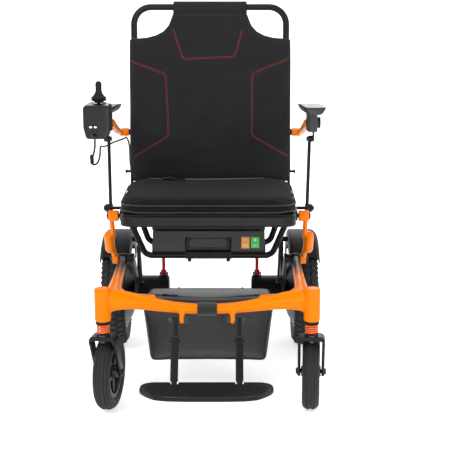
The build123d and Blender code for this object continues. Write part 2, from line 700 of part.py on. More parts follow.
with BuildPart() as footrest_hanger:
    top = (pin_y, pin_z)
    for side in (-1, 1):
        x_bar = sorted((side * (hanger_half - 5.5), side * (hanger_half + 5.5)))
        strap_plate(*x_bar, [(*top, 7.5), (*hanger_point(0.3), 6)])
        x_sleeve = sorted((side * (hanger_half - 8.5), side * (hanger_half + 8.5)))
        strap_plate(*x_sleeve, [(*hanger_point(0.3), 8.5), (*hanger_point(0.88), 8.5)])
        cross_rod(side * 60, side * 80, top, pin_r + run_gap, Mode.SUBTRACT)
        cross_rod(side * (hanger_half - 12), side * (hanger_half + 12), hanger_point(0.33), 3.5)
        cross_rod(side * (hanger_half - 12), side * (hanger_half + 12), hanger_point(0.48), 2.5, Mode.SUBTRACT)
        cross_rod(side * (hanger_half - 12), side * (hanger_half + 12), hanger_point(0.62), 2.5, Mode.SUBTRACT)
    cross_rod(-100, 100, hinge, 4.0)
    for side in (-1, 1):
        strap_plate(*sorted((side * (hanger_half - 6), side * (hanger_half + 6))),
                    [(*hanger_point(0.88), 7), (*hinge, 7)])
save(footrest_hanger.part, "footrest_hanger")

plate_rise = 8.3
plate_half, plate_depth, plate_thick = 145.0, 134.762, 9.0
slope = radians(plate_rise)
plate_plane = Plane(origin=(0, hinge[0] - 1, hinge[1]), x_dir=(-1, 0, 0),
                    z_dir=(0, sin(slope), cos(slope)))
with BuildPart() as footplate:
    with BuildSketch(plate_plane.offset(-plate_thick / 2)):
        with BuildLine():
            rear = Polyline((0, -22), (112, -22))
            tip = Spline(rear @ 1, (plate_half, 22), (126, 95), tangents=((1, 0.1), (-0.6, 1)))
            front = Spline(tip @ 1, (104, 122), (60, plate_depth - 2), (0, plate_depth),
                           tangents=((-0.6, 1), (-1, 0)))
            mirror(about=Plane.YZ)
        make_face()
    extrude(amount=plate_thick)
    for side in (-1, 1):
        cut = sorted((side * (hanger_half - 9), side * (hanger_half + 9)))
        with BuildSketch(Plane.YZ.offset(cut[0])):
            with Locations((hinge[0] + 5, hinge[1] + 4)):
                Rectangle(50, 44)
        extrude(amount=18, mode=Mode.SUBTRACT)
    cross_rod(-101, 101, hinge, 4.0 + run_gap, Mode.SUBTRACT)
save(footplate.part, "footplate")

# Casters, made round the swivel axis ---------------------------------------------------
collar_low = 219.5
spring_low = 195.0
spring_wire, spring_turns, spring_r = 1.9, 4, 13.2
crown_top, crown_low = 191.7, 181.0
fork_half, fork_thick = 31.0, 6.5

with BuildPart() as caster_collar:
    rod((0, 0, collar_low), (0, 0, head_low), 16.8)
    rod((0, 0, collar_low - 1), (0, 0, head_low + 1), stem_r + run_gap, Mode.SUBTRACT)
with BuildPart() as caster_stem:
    rod((0, 0, 174.8), (0, 0, stem_top), stem_r)
    rod((0, 0, 174.8), (0, 0, crown_low - 0.5), 8.5)
    rod((0, 0, crown_top + 0.3), (0, 0, spring_low), 15.5)
with BuildPart() as caster_spring:
    spring_pitch = (collar_low - spring_low - 2 * spring_wire - 0.6) / spring_turns
    with BuildLine(Plane.XY.offset(spring_low + spring_wire + 0.3)) as coil:
        Helix(spring_pitch, spring_pitch * spring_turns, spring_r)
    with BuildSketch(Plane(origin=coil.wires()[0] @ 0, z_dir=coil.wires()[0] % 0)):
        Circle(spring_wire)
    sweep(path=coil.wires()[0], is_frenet=True)
with BuildPart() as caster_fork:
    with BuildSketch(Plane.XZ.offset(16)):
        with Locations((0, (crown_top + 160) / 2)):
            RectangleRounded(2 * fork_half, crown_top - 160, 12)
        with Locations((0, crown_low - 20)):
            RectangleRounded(2 * (fork_half - fork_thick), 40, 4, mode=Mode.SUBTRACT)
        with Locations((0, 165)):
            Rectangle(80, 12, mode=Mode.SUBTRACT)
    extrude(amount=-36)
    for side in (-1, 1):
        strap_plate(*sorted((side * (fork_half - fork_thick), side * fork_half)),
                    [(2, 172, 13), (caster_trail, caster_r, 12)])
    rod((0, 0, 150), (0, 0, 200), stem_r + run_gap, Mode.SUBTRACT)
    cross_rod(-40, 40, (caster_trail, caster_r), 4.0, Mode.SUBTRACT)
with BuildPart() as caster_axle:
    cross_rod(-fork_half, fork_half, (caster_trail, caster_r), 4.0)
    for side in (-1, 1):
        with BuildSketch(Plane.YZ.offset(side * (fork_half + 2.2))):
            with Locations((caster_trail, caster_r)):
                RegularPolygon(7.5, 6)
        extrude(amount=2.2, both=True)
with BuildPart() as caster_rim:
    turned([(-23, 4.05), (-23, 12), (-17, 13), (-6, 16), (-6, 50), (-15, 55), (-15, 61), (15, 61),
            (15, 55), (6, 50), (6, 16), (17, 13), (23, 12), (23, 4.05)])
    with BuildSketch(Plane.YZ.offset(-12)):
        with PolarLocations(33, 6):
            Circle(11.5)
    extrude(amount=24, mode=Mode.SUBTRACT)
with BuildPart() as caster_tyre:
    with BuildSketch(Plane.XZ):
        with Locations((0, 73)):
            Ellipse(caster_width / 2, 16)
        with Locations((0, 51)):
            Rectangle(caster_width + 2, 20, mode=Mode.SUBTRACT)
    revolve(axis=Axis.X)

save(both(Pos(caster_half, swivel_y, 0) * caster_collar.part), "caster_collars")
for side_name, side, turn in (("left", 1, caster_turn_left), ("right", -1, caster_turn_right)):
    place = Pos(side * caster_half, swivel_y, 0) * Rot(0, 0, turn)
    hub_place = place * Pos(0, caster_trail, caster_r)
    save(place * caster_stem.part, f"caster_stem_{side_name}")
    save(place * caster_spring.part, f"caster_spring_{side_name}")
    save(place * group(caster_fork.part, caster_axle.part), f"caster_fork_{side_name}")
    save(hub_place * caster_rim.part, f"caster_rim_{side_name}")
    save(hub_place * caster_tyre.part, f"caster_tyre_{side_name}")

# Anti-tip wheels -------------------------------------------------------------------------
tip_half, tip_r, tip_z = 100.0, 28.0, 46.0
tip_y = overall_rear - tip_r
with BuildPart() as anti_tip_arms:
    for side in (-1, 1):
        strap_plate(*sorted((side * (tip_half - 13.5), side * (tip_half - 9.7))),
                    [(*rear_tube, 15), (tip_y, tip_z, 9)])
        cross_rod(side * (tip_half - 12), side * (tip_half + 11), (tip_y, tip_z), 3.95)
        cross_rod(side * (tip_half + 9.6), side * (tip_half + 12.5), (tip_y, tip_z), 7)
    cross_rod(-plate_in, plate_in, rear_tube, cross_r, Mode.SUBTRACT)
save(anti_tip_arms.part, "anti_tip_arms")
with BuildPart() as anti_tip_wheel:
    cross_rod(tip_half - 9, tip_half + 9, (tip_y, tip_z), tip_r)
    fillet(anti_tip_wheel.edges().filter_by(GeomType.CIRCLE), 3)
    cross_rod(tip_half - 10, tip_half + 10, (tip_y, tip_z), 4.0, Mode.SUBTRACT)
save_pair(anti_tip_wheel.part, "anti_tip_wheel")

# Bag under the seat, held by straps round the bow and the front cross tube ---------------
bag_top, bag_foot = 160.0, 141.0
bag_front, bag_rear, bag_low = -213.0, 66.0, 83.0
with BuildPart() as under_bag:
    with BuildSketch(Plane.YZ):
        with BuildLine():
            FilletPolyline((bag_front + 6, bag_low), (bag_front, 248), (bag_rear, 194),
                           (bag_rear - 14, bag_low), close=True, radius=[16, 12, 12, 20])
        make_face()
    extrude(amount=bag_top, both=True)
    for side in (-1, 1):
        with BuildSketch(Plane.XZ.offset(-bag_rear - 10)):
            with BuildLine():
                Polyline((side * bag_foot, bag_low - 10), (side * bag_top, 240),
                         (side * (bag_top + 60), 240), (side * (bag_top + 60), bag_low - 10), close=True)
            make_face()
        extrude(amount=bag_rear - bag_front + 20, mode=Mode.SUBTRACT)
save(under_bag.part, "under_bag")

with BuildPart() as bag_straps:
    with BuildSketch(Plane.YZ.offset(-22)):
        with Locations((-335, 257)):
            Ellipse(17.2, bow_r + 3.2)
            Ellipse(15.2, bow_r + 1.2, mode=Mode.SUBTRACT)
        with BuildLine():
            Polyline((-318.5, 259.5), (-318.5, 256.5), (bag_front + 0.2, 229), (bag_front + 0.2, 232.5),
                     close=True)
        make_face()
    extrude(amount=44)
    for x in (-112, 88):
        with BuildSketch(Plane.YZ.offset(x)):
            with Locations(front_tube):
                Circle(cross_r + 2.2)
                Circle(cross_r + 0.3, mode=Mode.SUBTRACT)
            with BuildLine():
                Polyline((88.5, 155), (87, 159), (bag_rear - 1.3, 182), (bag_rear - 1.3, 178), close=True)
            make_face()
        extrude(amount=24)
save(bag_straps.part, "bag_straps")

# Seat belt, lying across the back of the cushion -----------------------------------------
belt_thick = 1.6
belt_lift = board_thick + soft_gap + cushion_thick + 0.3
belt_back = cushion_front + cushion_depth
with BuildPart() as belt_strap:
    with BuildSketch(seat_plane(belt_lift)):
        with BuildLine():
            FilletPolyline((-64, belt_back - 46), (40, belt_back - 41), (112, belt_back - 30),
                           (150, belt_back + 3), (150, belt_back - 24), (112, belt_back - 54),
                           (40, belt_back - 66), (-64, belt_back - 70), close=True,
                           radius=[2, 20, 20, 2, 2, 20, 20, 2])
        make_face()
    extrude(amount=belt_thick)
with BuildPart() as belt_tongue:
    with BuildSketch(seat_plane(belt_lift)):
        with Locations((-78, belt_back - 58)):
            RectangleRounded(27, 26, 4)
    extrude(amount=5)
with BuildPart() as belt_buckle:
    with BuildSketch(seat_plane(belt_lift)):
        with Locations((-108.5, belt_back - 56)):
            RectangleRounded(33, 30, 5)
    extrude(amount=10.5)
    fillet(belt_buckle.faces().sort_by(Axis.Z)[-1].edges(), 3)
save(group(belt_strap.part, belt_tongue.part, belt_buckle.part), "seat_belt")

# Control cable: from the pod along the armrest, then down the back post --------------------
cable_r = 2.4
arm_cable_route = [
    (-269, -118, 613.5), (-269, -117, 600), (-271, -112, 583), (-277, -104, 566), (-281, -92, 551),
    (-280, -74, 541), (-272, -54, 541), (-268, -34, 551), (-269, -10, 564), (-272, 20, 570),
    (-275, 54, 568), (-275, 92, 561), (-273, 132, 555), (-268, 172, 553), (-260, 208, 554),
    (-247, 238, 555), (-234, 262, 557)]
back_cable_route = [
    (-229, 281, 558), (-225, 291, 549), (-222, 293, 532), (-221, 291, 510), (-221, 289, 488),
    (-218, 284, 472), (-214.2, 279.6, 456), (-214.2, 278.9, 440)]
with BuildPart() as arm_cable:
    tube_run(arm_cable_route, cord_radii(arm_cable_route), cable_r)
with BuildPart() as back_cable:
    tube_run(back_cable_route, cord_radii(back_cable_route), cable_r)
print("cable arc radii", [round(r, 1) for r in cord_radii(arm_cable_route)],
      [round(r, 1) for r in cord_radii(back_cable_route)])
save(arm_cable.part, "arm_cable")
save(back_cable.part, "back_cable")
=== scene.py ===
import json
import math
import random
import bmesh
import bpy
from mathutils import Matrix, Vector
from mathutils.bvhtree import BVHTree


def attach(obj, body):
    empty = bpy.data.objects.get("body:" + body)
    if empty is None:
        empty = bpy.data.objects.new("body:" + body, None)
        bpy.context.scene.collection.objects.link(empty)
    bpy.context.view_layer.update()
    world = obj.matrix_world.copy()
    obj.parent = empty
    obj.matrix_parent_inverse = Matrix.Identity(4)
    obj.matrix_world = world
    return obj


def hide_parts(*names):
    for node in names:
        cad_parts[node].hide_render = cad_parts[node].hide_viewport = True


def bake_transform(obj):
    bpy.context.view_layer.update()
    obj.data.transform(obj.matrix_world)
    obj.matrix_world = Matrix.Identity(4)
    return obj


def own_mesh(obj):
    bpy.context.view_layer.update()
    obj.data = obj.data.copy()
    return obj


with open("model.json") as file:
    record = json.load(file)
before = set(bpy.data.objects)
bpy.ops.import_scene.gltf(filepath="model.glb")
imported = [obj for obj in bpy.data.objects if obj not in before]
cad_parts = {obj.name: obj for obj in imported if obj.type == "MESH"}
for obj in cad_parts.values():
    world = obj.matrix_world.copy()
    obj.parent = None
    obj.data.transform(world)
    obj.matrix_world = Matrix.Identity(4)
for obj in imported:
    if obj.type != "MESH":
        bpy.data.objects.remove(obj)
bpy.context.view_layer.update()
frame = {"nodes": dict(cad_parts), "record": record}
scene = bpy.context.scene
nodes = frame["nodes"]
backShift = 62.5  # mm from the drawing's side arm pivot to the middle of the chair


def mm(x, y, z):  # a drawing point in mm, as a point in the chair's frame
    return Vector((x, y + backShift, z)) / 1000


print("frame loaded")

# camera and light, first because the framing decides how much each piece shows
view = {"place": mm(40, -2780, 1000), "down": 12.66, "lens": 90.4}
cameraData = bpy.data.cameras.new("camera")
cameraData.lens = view["lens"]
camera = bpy.data.objects.new("camera", cameraData)
camera.location = view["place"]
camera.rotation_euler = (math.radians(90 - view["down"]), 0, 0)
scene.collection.objects.link(camera)
scene.camera = camera

lights = {  # name: place, aims at, size in m, watts
    "keyLight": ((-1.6, -2.6, 2.6), (0, 0, 0.45), 1.4, 58),
    "fillLight": ((2.2, -2.2, 1.7), (0, 0, 0.4), 1.4, 32),
    "topLight": ((0, 0.3, 3.0), (0, 0, 0.4), 2.0, 28),
    "lowLight": ((0.2, -3.0, 0.5), (0, 0, 0.3), 1.2, 13),
    "rimLight": ((0.4, 2.8, 1.9), (0, 0, 0.5), 1.6, 16),
}
for name, (place, aim, size, watts) in lights.items():
    lamp = bpy.data.lights.new(name, "AREA")
    lamp.shape = "DISK"
    lamp.size = size
    lamp.energy = watts
    lampObject = bpy.data.objects.new(name, lamp)
    lampObject.location = place
    lampObject.rotation_euler = (Vector(aim) - Vector(place)).to_track_quat("-Z", "Y").to_euler()
    scene.collection.objects.link(lampObject)

world = bpy.data.worlds.new("studio")
world.use_nodes = True
world.node_tree.nodes["Background"].inputs["Color"].default_value = (1, 1, 1, 1)
world.node_tree.nodes["Background"].inputs["Strength"].default_value = 0.42
scene.world = world
scene.view_settings.view_transform = "Standard"
print("camera and light placed")


# materials ---------------------------------------------------------------
def linear(code):  # an sRGB hex colour as the linear colour that sockets take
    parts = [int(code[i:i + 2], 16) / 255 for i in (0, 2, 4)]
    return (*[p / 12.92 if p <= 0.04045 else ((p + 0.055) / 1.055) ** 2.4 for p in parts], 1)


def addNode(tree, kind, values=None, links=None, **settings):
    made = tree.nodes.new(kind)
    for key, value in settings.items():
        setattr(made, key, value)
    for socket, value in (values or {}).items():
        made.inputs[socket].default_value = value
    for socket, source in (links or {}).items():
        tree.links.new(source, made.inputs[socket])
    return made


def newMaterial(name, colour, roughness, **sockets):
    made = bpy.data.materials.new(name)
    made.use_nodes = True
    shader = made.node_tree.nodes["Principled BSDF"]
    shader.inputs["Base Color"].default_value = linear(colour)
    shader.inputs["Roughness"].default_value = roughness
    for key, value in sockets.items():
        shader.inputs[key.replace("_", " ")].default_value = value
    return made, made.node_tree, shader


def mottle(tree, shader, colours, size, detail=3, roughness=None, coords=None):
    # two close colours, and two roughnesses, in soft patches of a size in mm
    where = coords or addNode(tree, "ShaderNodeTexCoord").outputs["Object"]
    cloud = addNode(tree, "ShaderNodeTexNoise", {"Scale": 1000 / size, "Detail": detail},
                    {"Vector": where})
    tint = addNode(tree, "ShaderNodeMix", {"A": linear(colours[0]), "B": linear(colours[1])},
                   {"Factor": cloud.outputs["Fac"]}, data_type="RGBA")
    tree.links.new(tint.outputs["Result"], shader.inputs["Base Color"])
    if roughness:
        spread = addNode(tree, "ShaderNodeMapRange", {"To Min": roughness[0], "To Max": roughness[1]},
                         {"Value": cloud.outputs["Fac"]})
        tree.links.new(spread.outputs["Result"], shader.inputs["Roughness"])
    return where, tint


def bumpFrom(tree, shader, height, depth):  # depth in mm
    bump = addNode(tree, "ShaderNodeBump", {"Strength": 1.0, "Distance": depth / 1000},
                   {"Height": height})
    tree.links.new(bump.outputs["Normal"], shader.inputs["Normal"])
    return bump


def grain(tree, shader, where, size, depth):  # moulded or sprayed texture, grain size in mm
    pits = addNode(tree, "ShaderNodeTexNoise", {"Scale": 1000 / size, "Detail": 2}, {"Vector": where})
    bumpFrom(tree, shader, pits.outputs["Fac"], depth)


def weave(tree, shader, where, thread, depth, angle=0.0):
    # two crossing sets of threads; thread is their spacing in mm
    turned = addNode(tree, "ShaderNodeMapping", {"Rotation": (0.12, angle, 0.0)}, {"Vector": where})
    scale = 1000 / thread / 20  # a wave texture has 20 / (2 pi) bands for each unit of scale
    sets = []
    for axis in ("X", "Z", "Y"):
        bands = addNode(tree, "ShaderNodeTexWave", {"Scale": scale * 6.28, "Distortion": 0.15},
                        {"Vector": turned.outputs["Vector"]}, wave_type="BANDS", bands_direction=axis)
        sets.append(bands.outputs["Fac"])
    across = addNode(tree, "ShaderNodeMath", None, None, operation="MULTIPLY")
    tree.links.new(sets[0], across.inputs[0])
    tree.links.new(sets[1], across.inputs[1])
    both = addNode(tree, "ShaderNodeMath", None, None, operation="ADD")
    tree.links.new(across.outputs["Value"], both.inputs[0])
    tree.links.new(sets[2], both.inputs[1])
    bumpFrom(tree, shader, both.outputs["Value"], depth)
    return both.outputs["Value"]


# gloss polyester powder coat over cast aluminium: bright, slightly rippled, clear highlights
orangePaint, tree, shader = newMaterial("orangePowderCoat", "ee7c00", 0.3, Coat_Weight=0.1,
                                        Coat_Roughness=0.06, Specular_IOR_Level=0.16)
where, tint = mottle(tree, shader, ("f07e00", "e87400"), 60, roughness=(0.26, 0.36))
grain(tree, shader, where, 2.2, 0.02)

# the same coat on the bow, with painted shade and painted dark reflection: the orange mixes to near black along
# its legs
# painted shade: the span along the leg over which the orange turns near black
fade = {"orangeAt": -185, "darkAt": -60}  # mm along the leg
bowPaintWithLegShade, tree, shader = newMaterial("orangePowderCoatWithPaintedLegShade", "ee7c00", 0.3, Coat_Weight=0.14,
                                     Coat_Roughness=0.06, Specular_IOR_Level=0.02)
where, tint = mottle(tree, shader, ("f07e00", "e87400"), 60, roughness=(0.26, 0.36))
split = addNode(tree, "ShaderNodeSeparateXYZ", None, {"Vector": where})
share = addNode(tree, "ShaderNodeMapRange",
                {"From Min": (fade["orangeAt"] + backShift) / 1000,
                 "From Max": (fade["darkAt"] + backShift) / 1000},
                {"Value": split.outputs["Y"]}, interpolation_type="SMOOTHSTEP")
# painted shade and dark reflection mixed into the bow's colour up the legs
legShadeMix = addNode(tree, "ShaderNodeMix", {"B": linear("17130f")},
                {"Factor": share.outputs["Result"], "A": tint.outputs["Result"]}, data_type="RGBA")
tree.links.new(legShadeMix.outputs["Result"], shader.inputs["Base Color"])
grain(tree, shader, where, 2.2, 0.02)

# orange lacquer on spring steel
springPaint, tree, shader = newMaterial("orangeSpringLacquer", "f2620a", 0.3, Coat_Weight=0.3)
where, tint = mottle(tree, shader, ("f4680c", "dd5306"), 9, roughness=(0.25, 0.4))

# satin black powder coat on steel tube: faint orange peel
blackPaint, tree, shader = newMaterial("satinBlackPowderCoat", "151516", 0.42, Specular_IOR_Level=0.22)
where, tint = mottle(tree, shader, ("0c0c0d", "131315"), 40, roughness=(0.32, 0.46))
grain(tree, shader, where, 1.6, 0.04)

# zinc-plated and dark passivated steel, turned: fine streaks
darkSteel, tree, shader = newMaterial("darkPassivatedSteel", "4a4a4b", 0.36, Metallic=0.9)
where, tint = mottle(tree, shader, ("505051", "3a3a3c"), 6, roughness=(0.28, 0.46))

# glass-filled nylon, moulded with a spark-eroded texture
blackNylon, tree, shader = newMaterial("mouldedBlackNylon", "1b1b1c", 0.55, Specular_IOR_Level=0.2)
where, tint = mottle(tree, shader, ("0f0f10", "171719"), 30, roughness=(0.48, 0.62))
grain(tree, shader, where, 1.1, 0.08)

# dark grey ABS housings
greyAbs, tree, shader = newMaterial("darkGreyAbs", "2b2c2e", 0.5, Specular_IOR_Level=0.3)
where, tint = mottle(tree, shader, ("303133", "3a3b3d"), 35, roughness=(0.42, 0.56))
grain(tree, shader, where, 1.0, 0.07)

# polished black ABS, as on control housings
glossAbs, tree, shader = newMaterial("semiGlossBlackAbs", "131314", 0.28, Coat_Weight=0.12,
                                     Specular_IOR_Level=0.25)
where, tint = mottle(tree, shader, ("111112", "19191b"), 25, roughness=(0.22, 0.36))
grain(tree, shader, where, 1.3, 0.03)

# red dipped lever
redPlastic, tree, shader = newMaterial("redDippedPvc", "c8142c", 0.4, Specular_IOR_Level=0.3)
where, tint = mottle(tree, shader, ("d2142e", "b00f24"), 12, roughness=(0.32, 0.48))

# tyre rubber with carbon black: dull, dusty in the low places
tyreRubber, tree, shader = newMaterial("tyreRubber", "1a1a1b", 0.75, Specular_IOR_Level=0.35)
where, tint = mottle(tree, shader, ("1c1c1d", "29292a"), 14, detail=5, roughness=(0.62, 0.85))
grain(tree, shader, where, 1.4, 0.12)

# black-coated cast rim
rimCoat, tree, shader = newMaterial("blackCastRim", "161617", 0.45, IOR=1.5)
where, tint = mottle(tree, shader, ("0d0d0e", "161618"), 20, roughness=(0.36, 0.52))
grain(tree, shader, where, 1.2, 0.05)

# air-mesh polyester: a knit with open cells; drawn at 2.4 mm, coarser than the real 1.2 mm, to show
seatMesh, tree, shader = newMaterial("airMeshPolyester", "0c0c0d", 0.9, Sheen_Weight=0.04,
                                     Sheen_Roughness=0.5, Specular_IOR_Level=0.08)
where, tint = mottle(tree, shader, ("0b0b0c", "141416"), 55, detail=4, roughness=(0.78, 0.92))
threads = weave(tree, shader, where, 2.4, 0.35)
pale = addNode(tree, "ShaderNodeMix", {"B": linear("1f1f22")}, {"Factor": threads, "A": tint.outputs["Result"]},
               data_type="RGBA")
pale.inputs["Factor"].default_value = 0.3
soften = addNode(tree, "ShaderNodeMath", {1: 0.22}, {0: threads}, operation="MULTIPLY")
tree.links.new(soften.outputs["Value"], pale.inputs["Factor"])
tree.links.new(pale.outputs["Result"], shader.inputs["Base Color"])

# painted light: the seat's mesh made paler for the cover, which faces the lamps
litCoverMesh = seatMesh.copy()
litCoverMesh.name = "airMeshPolyesterPaintedLight"
for node in litCoverMesh.node_tree.nodes:
    if node.bl_idname == "ShaderNodeMix" and not node.inputs["A"].is_linked:
        node.inputs["A"].default_value, node.inputs["B"].default_value = linear("1f1f21"), linear("29292b")

# coated oxford nylon of the bag: flat weave with a slight sheen; 0.6 mm threads drawn at 1.6 mm
bagCloth, tree, shader = newMaterial("coatedOxfordNylon", "26282a", 0.62, Sheen_Weight=0.15)
where, tint = mottle(tree, shader, ("1a1b1d", "242628"), 70, detail=4, roughness=(0.55, 0.72))
weave(tree, shader, where, 1.6, 0.15)

# polyester webbing: ribs across the strap, 1.5 mm apart
webCloth, tree, shader = newMaterial("ribbedWebbing", "161617", 0.8, Sheen_Weight=0.2)
where, tint = mottle(tree, shader, ("0d0d0e", "161618"), 20, roughness=(0.72, 0.88))
weave(tree, shader, where, 1.5, 0.3)

# polyurethane skin of the arm pads: fine leather-like grain with a soft gloss
padSkin, tree, shader = newMaterial("polyurethaneSkin", "17171a", 0.38, IOR=1.5)
where, tint = mottle(tree, shader, ("151517", "202024"), 40, roughness=(0.3, 0.46))
cells = addNode(tree, "ShaderNodeTexVoronoi", {"Scale": 1000 / 2.2}, {"Vector": where})
bumpFrom(tree, shader, cells.outputs["Distance"], 0.12)

# PVC cable sheath
cableSheath, tree, shader = newMaterial("pvcCableSheath", "17171a", 0.5, IOR=1.5)
where, tint = mottle(tree, shader, ("151517", "1e1e20"), 12, roughness=(0.42, 0.56))

# bonded polyester thread, dark red
redThread, tree, shader = newMaterial("darkRedThread", "8a2426", 0.7, Sheen_Weight=0.1)
where, tint = mottle(tree, shader, ("a02c2e", "7a1e20"), 4)

# printed vinyl marks on the battery: plain colours, no wording
orangeVinyl, tree, shader = newMaterial("orangeVinyl", "e0973c", 0.4)
mottle(tree, shader, ("e29a40", "d98d31"), 8, roughness=(0.35, 0.45))
greenVinyl, tree, shader = newMaterial("greenVinyl", "37c352", 0.4)
mottle(tree, shader, ("3ac956", "30b34a"), 8, roughness=(0.35, 0.45))
whiteInk, tree, shader = newMaterial("whiteInk", "e6e6e2", 0.5)
mottle(tree, shader, ("eaeae6", "d8d8d4"), 5, roughness=(0.45, 0.55))
clearLens, tree, shader = newMaterial("milkyAcrylic", "dfe3e6", 0.15, Coat_Weight=0.4)
mottle(tree, shader, ("e6eaec", "cfd5d9"), 6, roughness=(0.1, 0.2))

slotMaterials = {
    "orange_paint": orangePaint, "spring_orange": springPaint, "black_paint": blackPaint,
    "steel": darkSteel, "black_plastic": blackNylon, "grey_plastic": greyAbs,
    "gloss_black": glossAbs, "red_lever": redPlastic, "tyre": tyreRubber, "rim_black": rimCoat,
    "fabric": seatMesh, "bag_fabric": bagCloth, "webbing": webCloth, "pad_foam": padSkin,
    "cable": cableSheath,
}
nodeSlots = {row["node"]: row["material_slot"] for row in frame["record"]["subparts"]}
for name, cadNode in nodes.items():
    cadNode.data.materials.clear()
    cadNode.data.materials.append(slotMaterials[nodeSlots[name]])
nodes["front_bow"].data.materials[0] = bowPaintWithLegShade
nodeBodies = {n: body for body, members in frame["record"]["behaviour"]["bodies"].items() for n in members}
print("materials made")


# making pieces -----------------------------------------------------------
def keep(bm, name, body, material, replaced=(), smooth=True, angle=40):
    # turns a bmesh in metres into a finished piece that rides on a body
    bmesh.ops.recalc_face_normals(bm, faces=bm.faces)
    mesh = bpy.data.meshes.new(name)
    bm.to_mesh(mesh)
    bm.free()
    piece = bpy.data.objects.new(name, mesh)
    scene.collection.objects.link(piece)
    mesh.materials.append(material)
    if smooth:
        mesh.shade_smooth()
        mesh.set_sharp_from_angle(angle=math.radians(angle))
    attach(piece, body)
    if replaced:
        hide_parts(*replaced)
    return piece


def addLoop(bm, points):  # a closed loop of edges through points
    corners = [bm.verts.new(p) for p in points]
    return [bm.edges.new((a, b)) for a, b in zip(corners, corners[1:] + corners[:1])]


def loft(bm, loops, caps=True):  # skins a run of loops that have equal counts
    rings = [addLoop(bm, points) for points in loops]
    for near, far in zip(rings, rings[1:]):
        bmesh.ops.bridge_loops(bm, edges=near + far)
    if caps:
        for ring in (rings[0], rings[-1]):
            bmesh.ops.contextual_create(bm, geom=ring)
    return rings


def spun(bm, outline, centre, axis, steps, closed=False):
    # turns an outline of (along, radius) in mm about an axis through centre
    axis = Vector(axis).normalized()
    side = axis.orthogonal().normalized()
    corners = [bm.verts.new(centre + axis * a / 1000 + side * r / 1000) for a, r in outline]
    edges = [bm.edges.new((a, b)) for a, b in zip(corners, corners[1:])]
    if closed:
        edges.append(bm.edges.new((corners[-1], corners[0])))
    bmesh.ops.spin(bm, geom=corners + edges, cent=centre, axis=axis, angle=math.tau,
                   steps=steps, use_merge=True)
    bmesh.ops.remove_doubles(bm, verts=bm.verts, dist=1e-6)


def block(bm, centre, size, turn=None, bevel=0.0):  # a small bevelled block; sizes in metres
    made = bmesh.ops.create_cube(bm, size=1.0)
    matrix = Matrix.Translation(centre) @ (turn or Matrix.Identity(4)) @ Matrix.Diagonal((*size, 1))
    bmesh.ops.transform(bm, matrix=matrix, verts=made["verts"])
    if bevel:
        edges = list({e for v in made["verts"] for e in v.link_edges})
        bmesh.ops.bevel(bm, geom=edges, offset=bevel, offset_type="OFFSET", segments=2,
                        profile=0.5, affect="EDGES", material=-1)


def hexHead(bm, place, axis, across, height):  # a six-sided bolt head
    turn = Vector((0, 0, 1)).rotation_difference(Vector(axis)).to_matrix().to_4x4()
    made = bmesh.ops.create_cone(bm, cap_ends=True, segments=6, radius1=across / 1000, radius2=across / 1100,
                                 depth=height / 1000)
    bmesh.ops.transform(bm, matrix=Matrix.Translation(place) @ turn, verts=made["verts"])


def copyOf(name):  # a merged bmesh copy of a CAD node
    bm = bmesh.new()
    bm.from_mesh(nodes[name].data)
    bmesh.ops.remove_doubles(bm, verts=bm.verts, dist=1e-5)
    return bm


def useModifiers(piece):  # leaves the piece with the mesh that its modifiers make
    graph = bpy.context.evaluated_depsgraph_get()
    made = bpy.data.meshes.new_from_object(piece.evaluated_get(graph))
    piece.modifiers.clear()
    piece.data = made


def cast(name, pieceName, voxel, rounds, material, factor=0.5):
    # a casting or moulding: the CAD shape remeshed, its inside corners eased by smoothing
    bm = copyOf(name)
    mesh = bpy.data.meshes.new(pieceName)
    bm.to_mesh(mesh)
    bm.free()
    piece = bpy.data.objects.new(pieceName, mesh)
    scene.collection.objects.link(piece)
    remesh = piece.modifiers.new("voxels", "REMESH")
    remesh.mode = "VOXEL"
    remesh.voxel_size = voxel / 1000
    ease = piece.modifiers.new("ease", "SMOOTH")
    ease.factor = factor
    ease.iterations = rounds
    useModifiers(piece)
    piece.data.materials.clear()
    piece.data.materials.append(material)
    piece.data.shade_smooth()
    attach(piece, nodeBodies[name])
    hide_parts(name)
    return piece


def puff(piece, voxel, pressure, cap, through, floor=None):
    # padded fabric: cloth blown up by pressure, mostly through its thickness, as its border is
    # sewn to size; floor(point) moves a point off what it rests on
    remesh = piece.modifiers.new("voxels", "REMESH")
    remesh.mode = "VOXEL"
    remesh.voxel_size = voxel / 1000
    useModifiers(piece)
    start = [v.co.copy() for v in piece.data.vertices]
    cloth = piece.modifiers.new("cloth", "CLOTH")
    cloth.settings.quality = 4
    cloth.settings.mass = 0.3
    cloth.settings.use_pressure = True
    cloth.settings.uniform_pressure_force = pressure
    cloth.settings.effector_weights.gravity = 0
    cloth.collision_settings.use_collision = False
    for step in range(1, 21):
        scene.frame_set(step)
    graph = bpy.context.evaluated_depsgraph_get()
    swollen = [v.co.copy() for v in piece.evaluated_get(graph).to_mesh().vertices]
    piece.modifiers.clear()
    scene.frame_set(1)
    for vertex, before, after in zip(piece.data.vertices, start, swollen):
        move = after - before
        rise = through * move.dot(through)
        move = rise + (move - rise) * 0.2
        if move.length > cap / 1000:
            move *= cap / 1000 / move.length
        vertex.co = before + move
    if floor:
        for vertex in piece.data.vertices:
            vertex.co = floor(vertex.co)
    ease = piece.modifiers.new("ease", "SMOOTH")
    ease.factor = 0.5
    ease.iterations = 3
    useModifiers(piece)
    piece.data.shade_smooth()


def nearLine(point, line):  # distance from a 2D point to a polyline
    best = 1e9
    for a, b in zip(line, line[1:]):
        along = b - a
        t = max(0.0, min(1.0, (point - a).dot(along) / along.length_squared))
        best = min(best, (a + along * t - point).length)
    return best


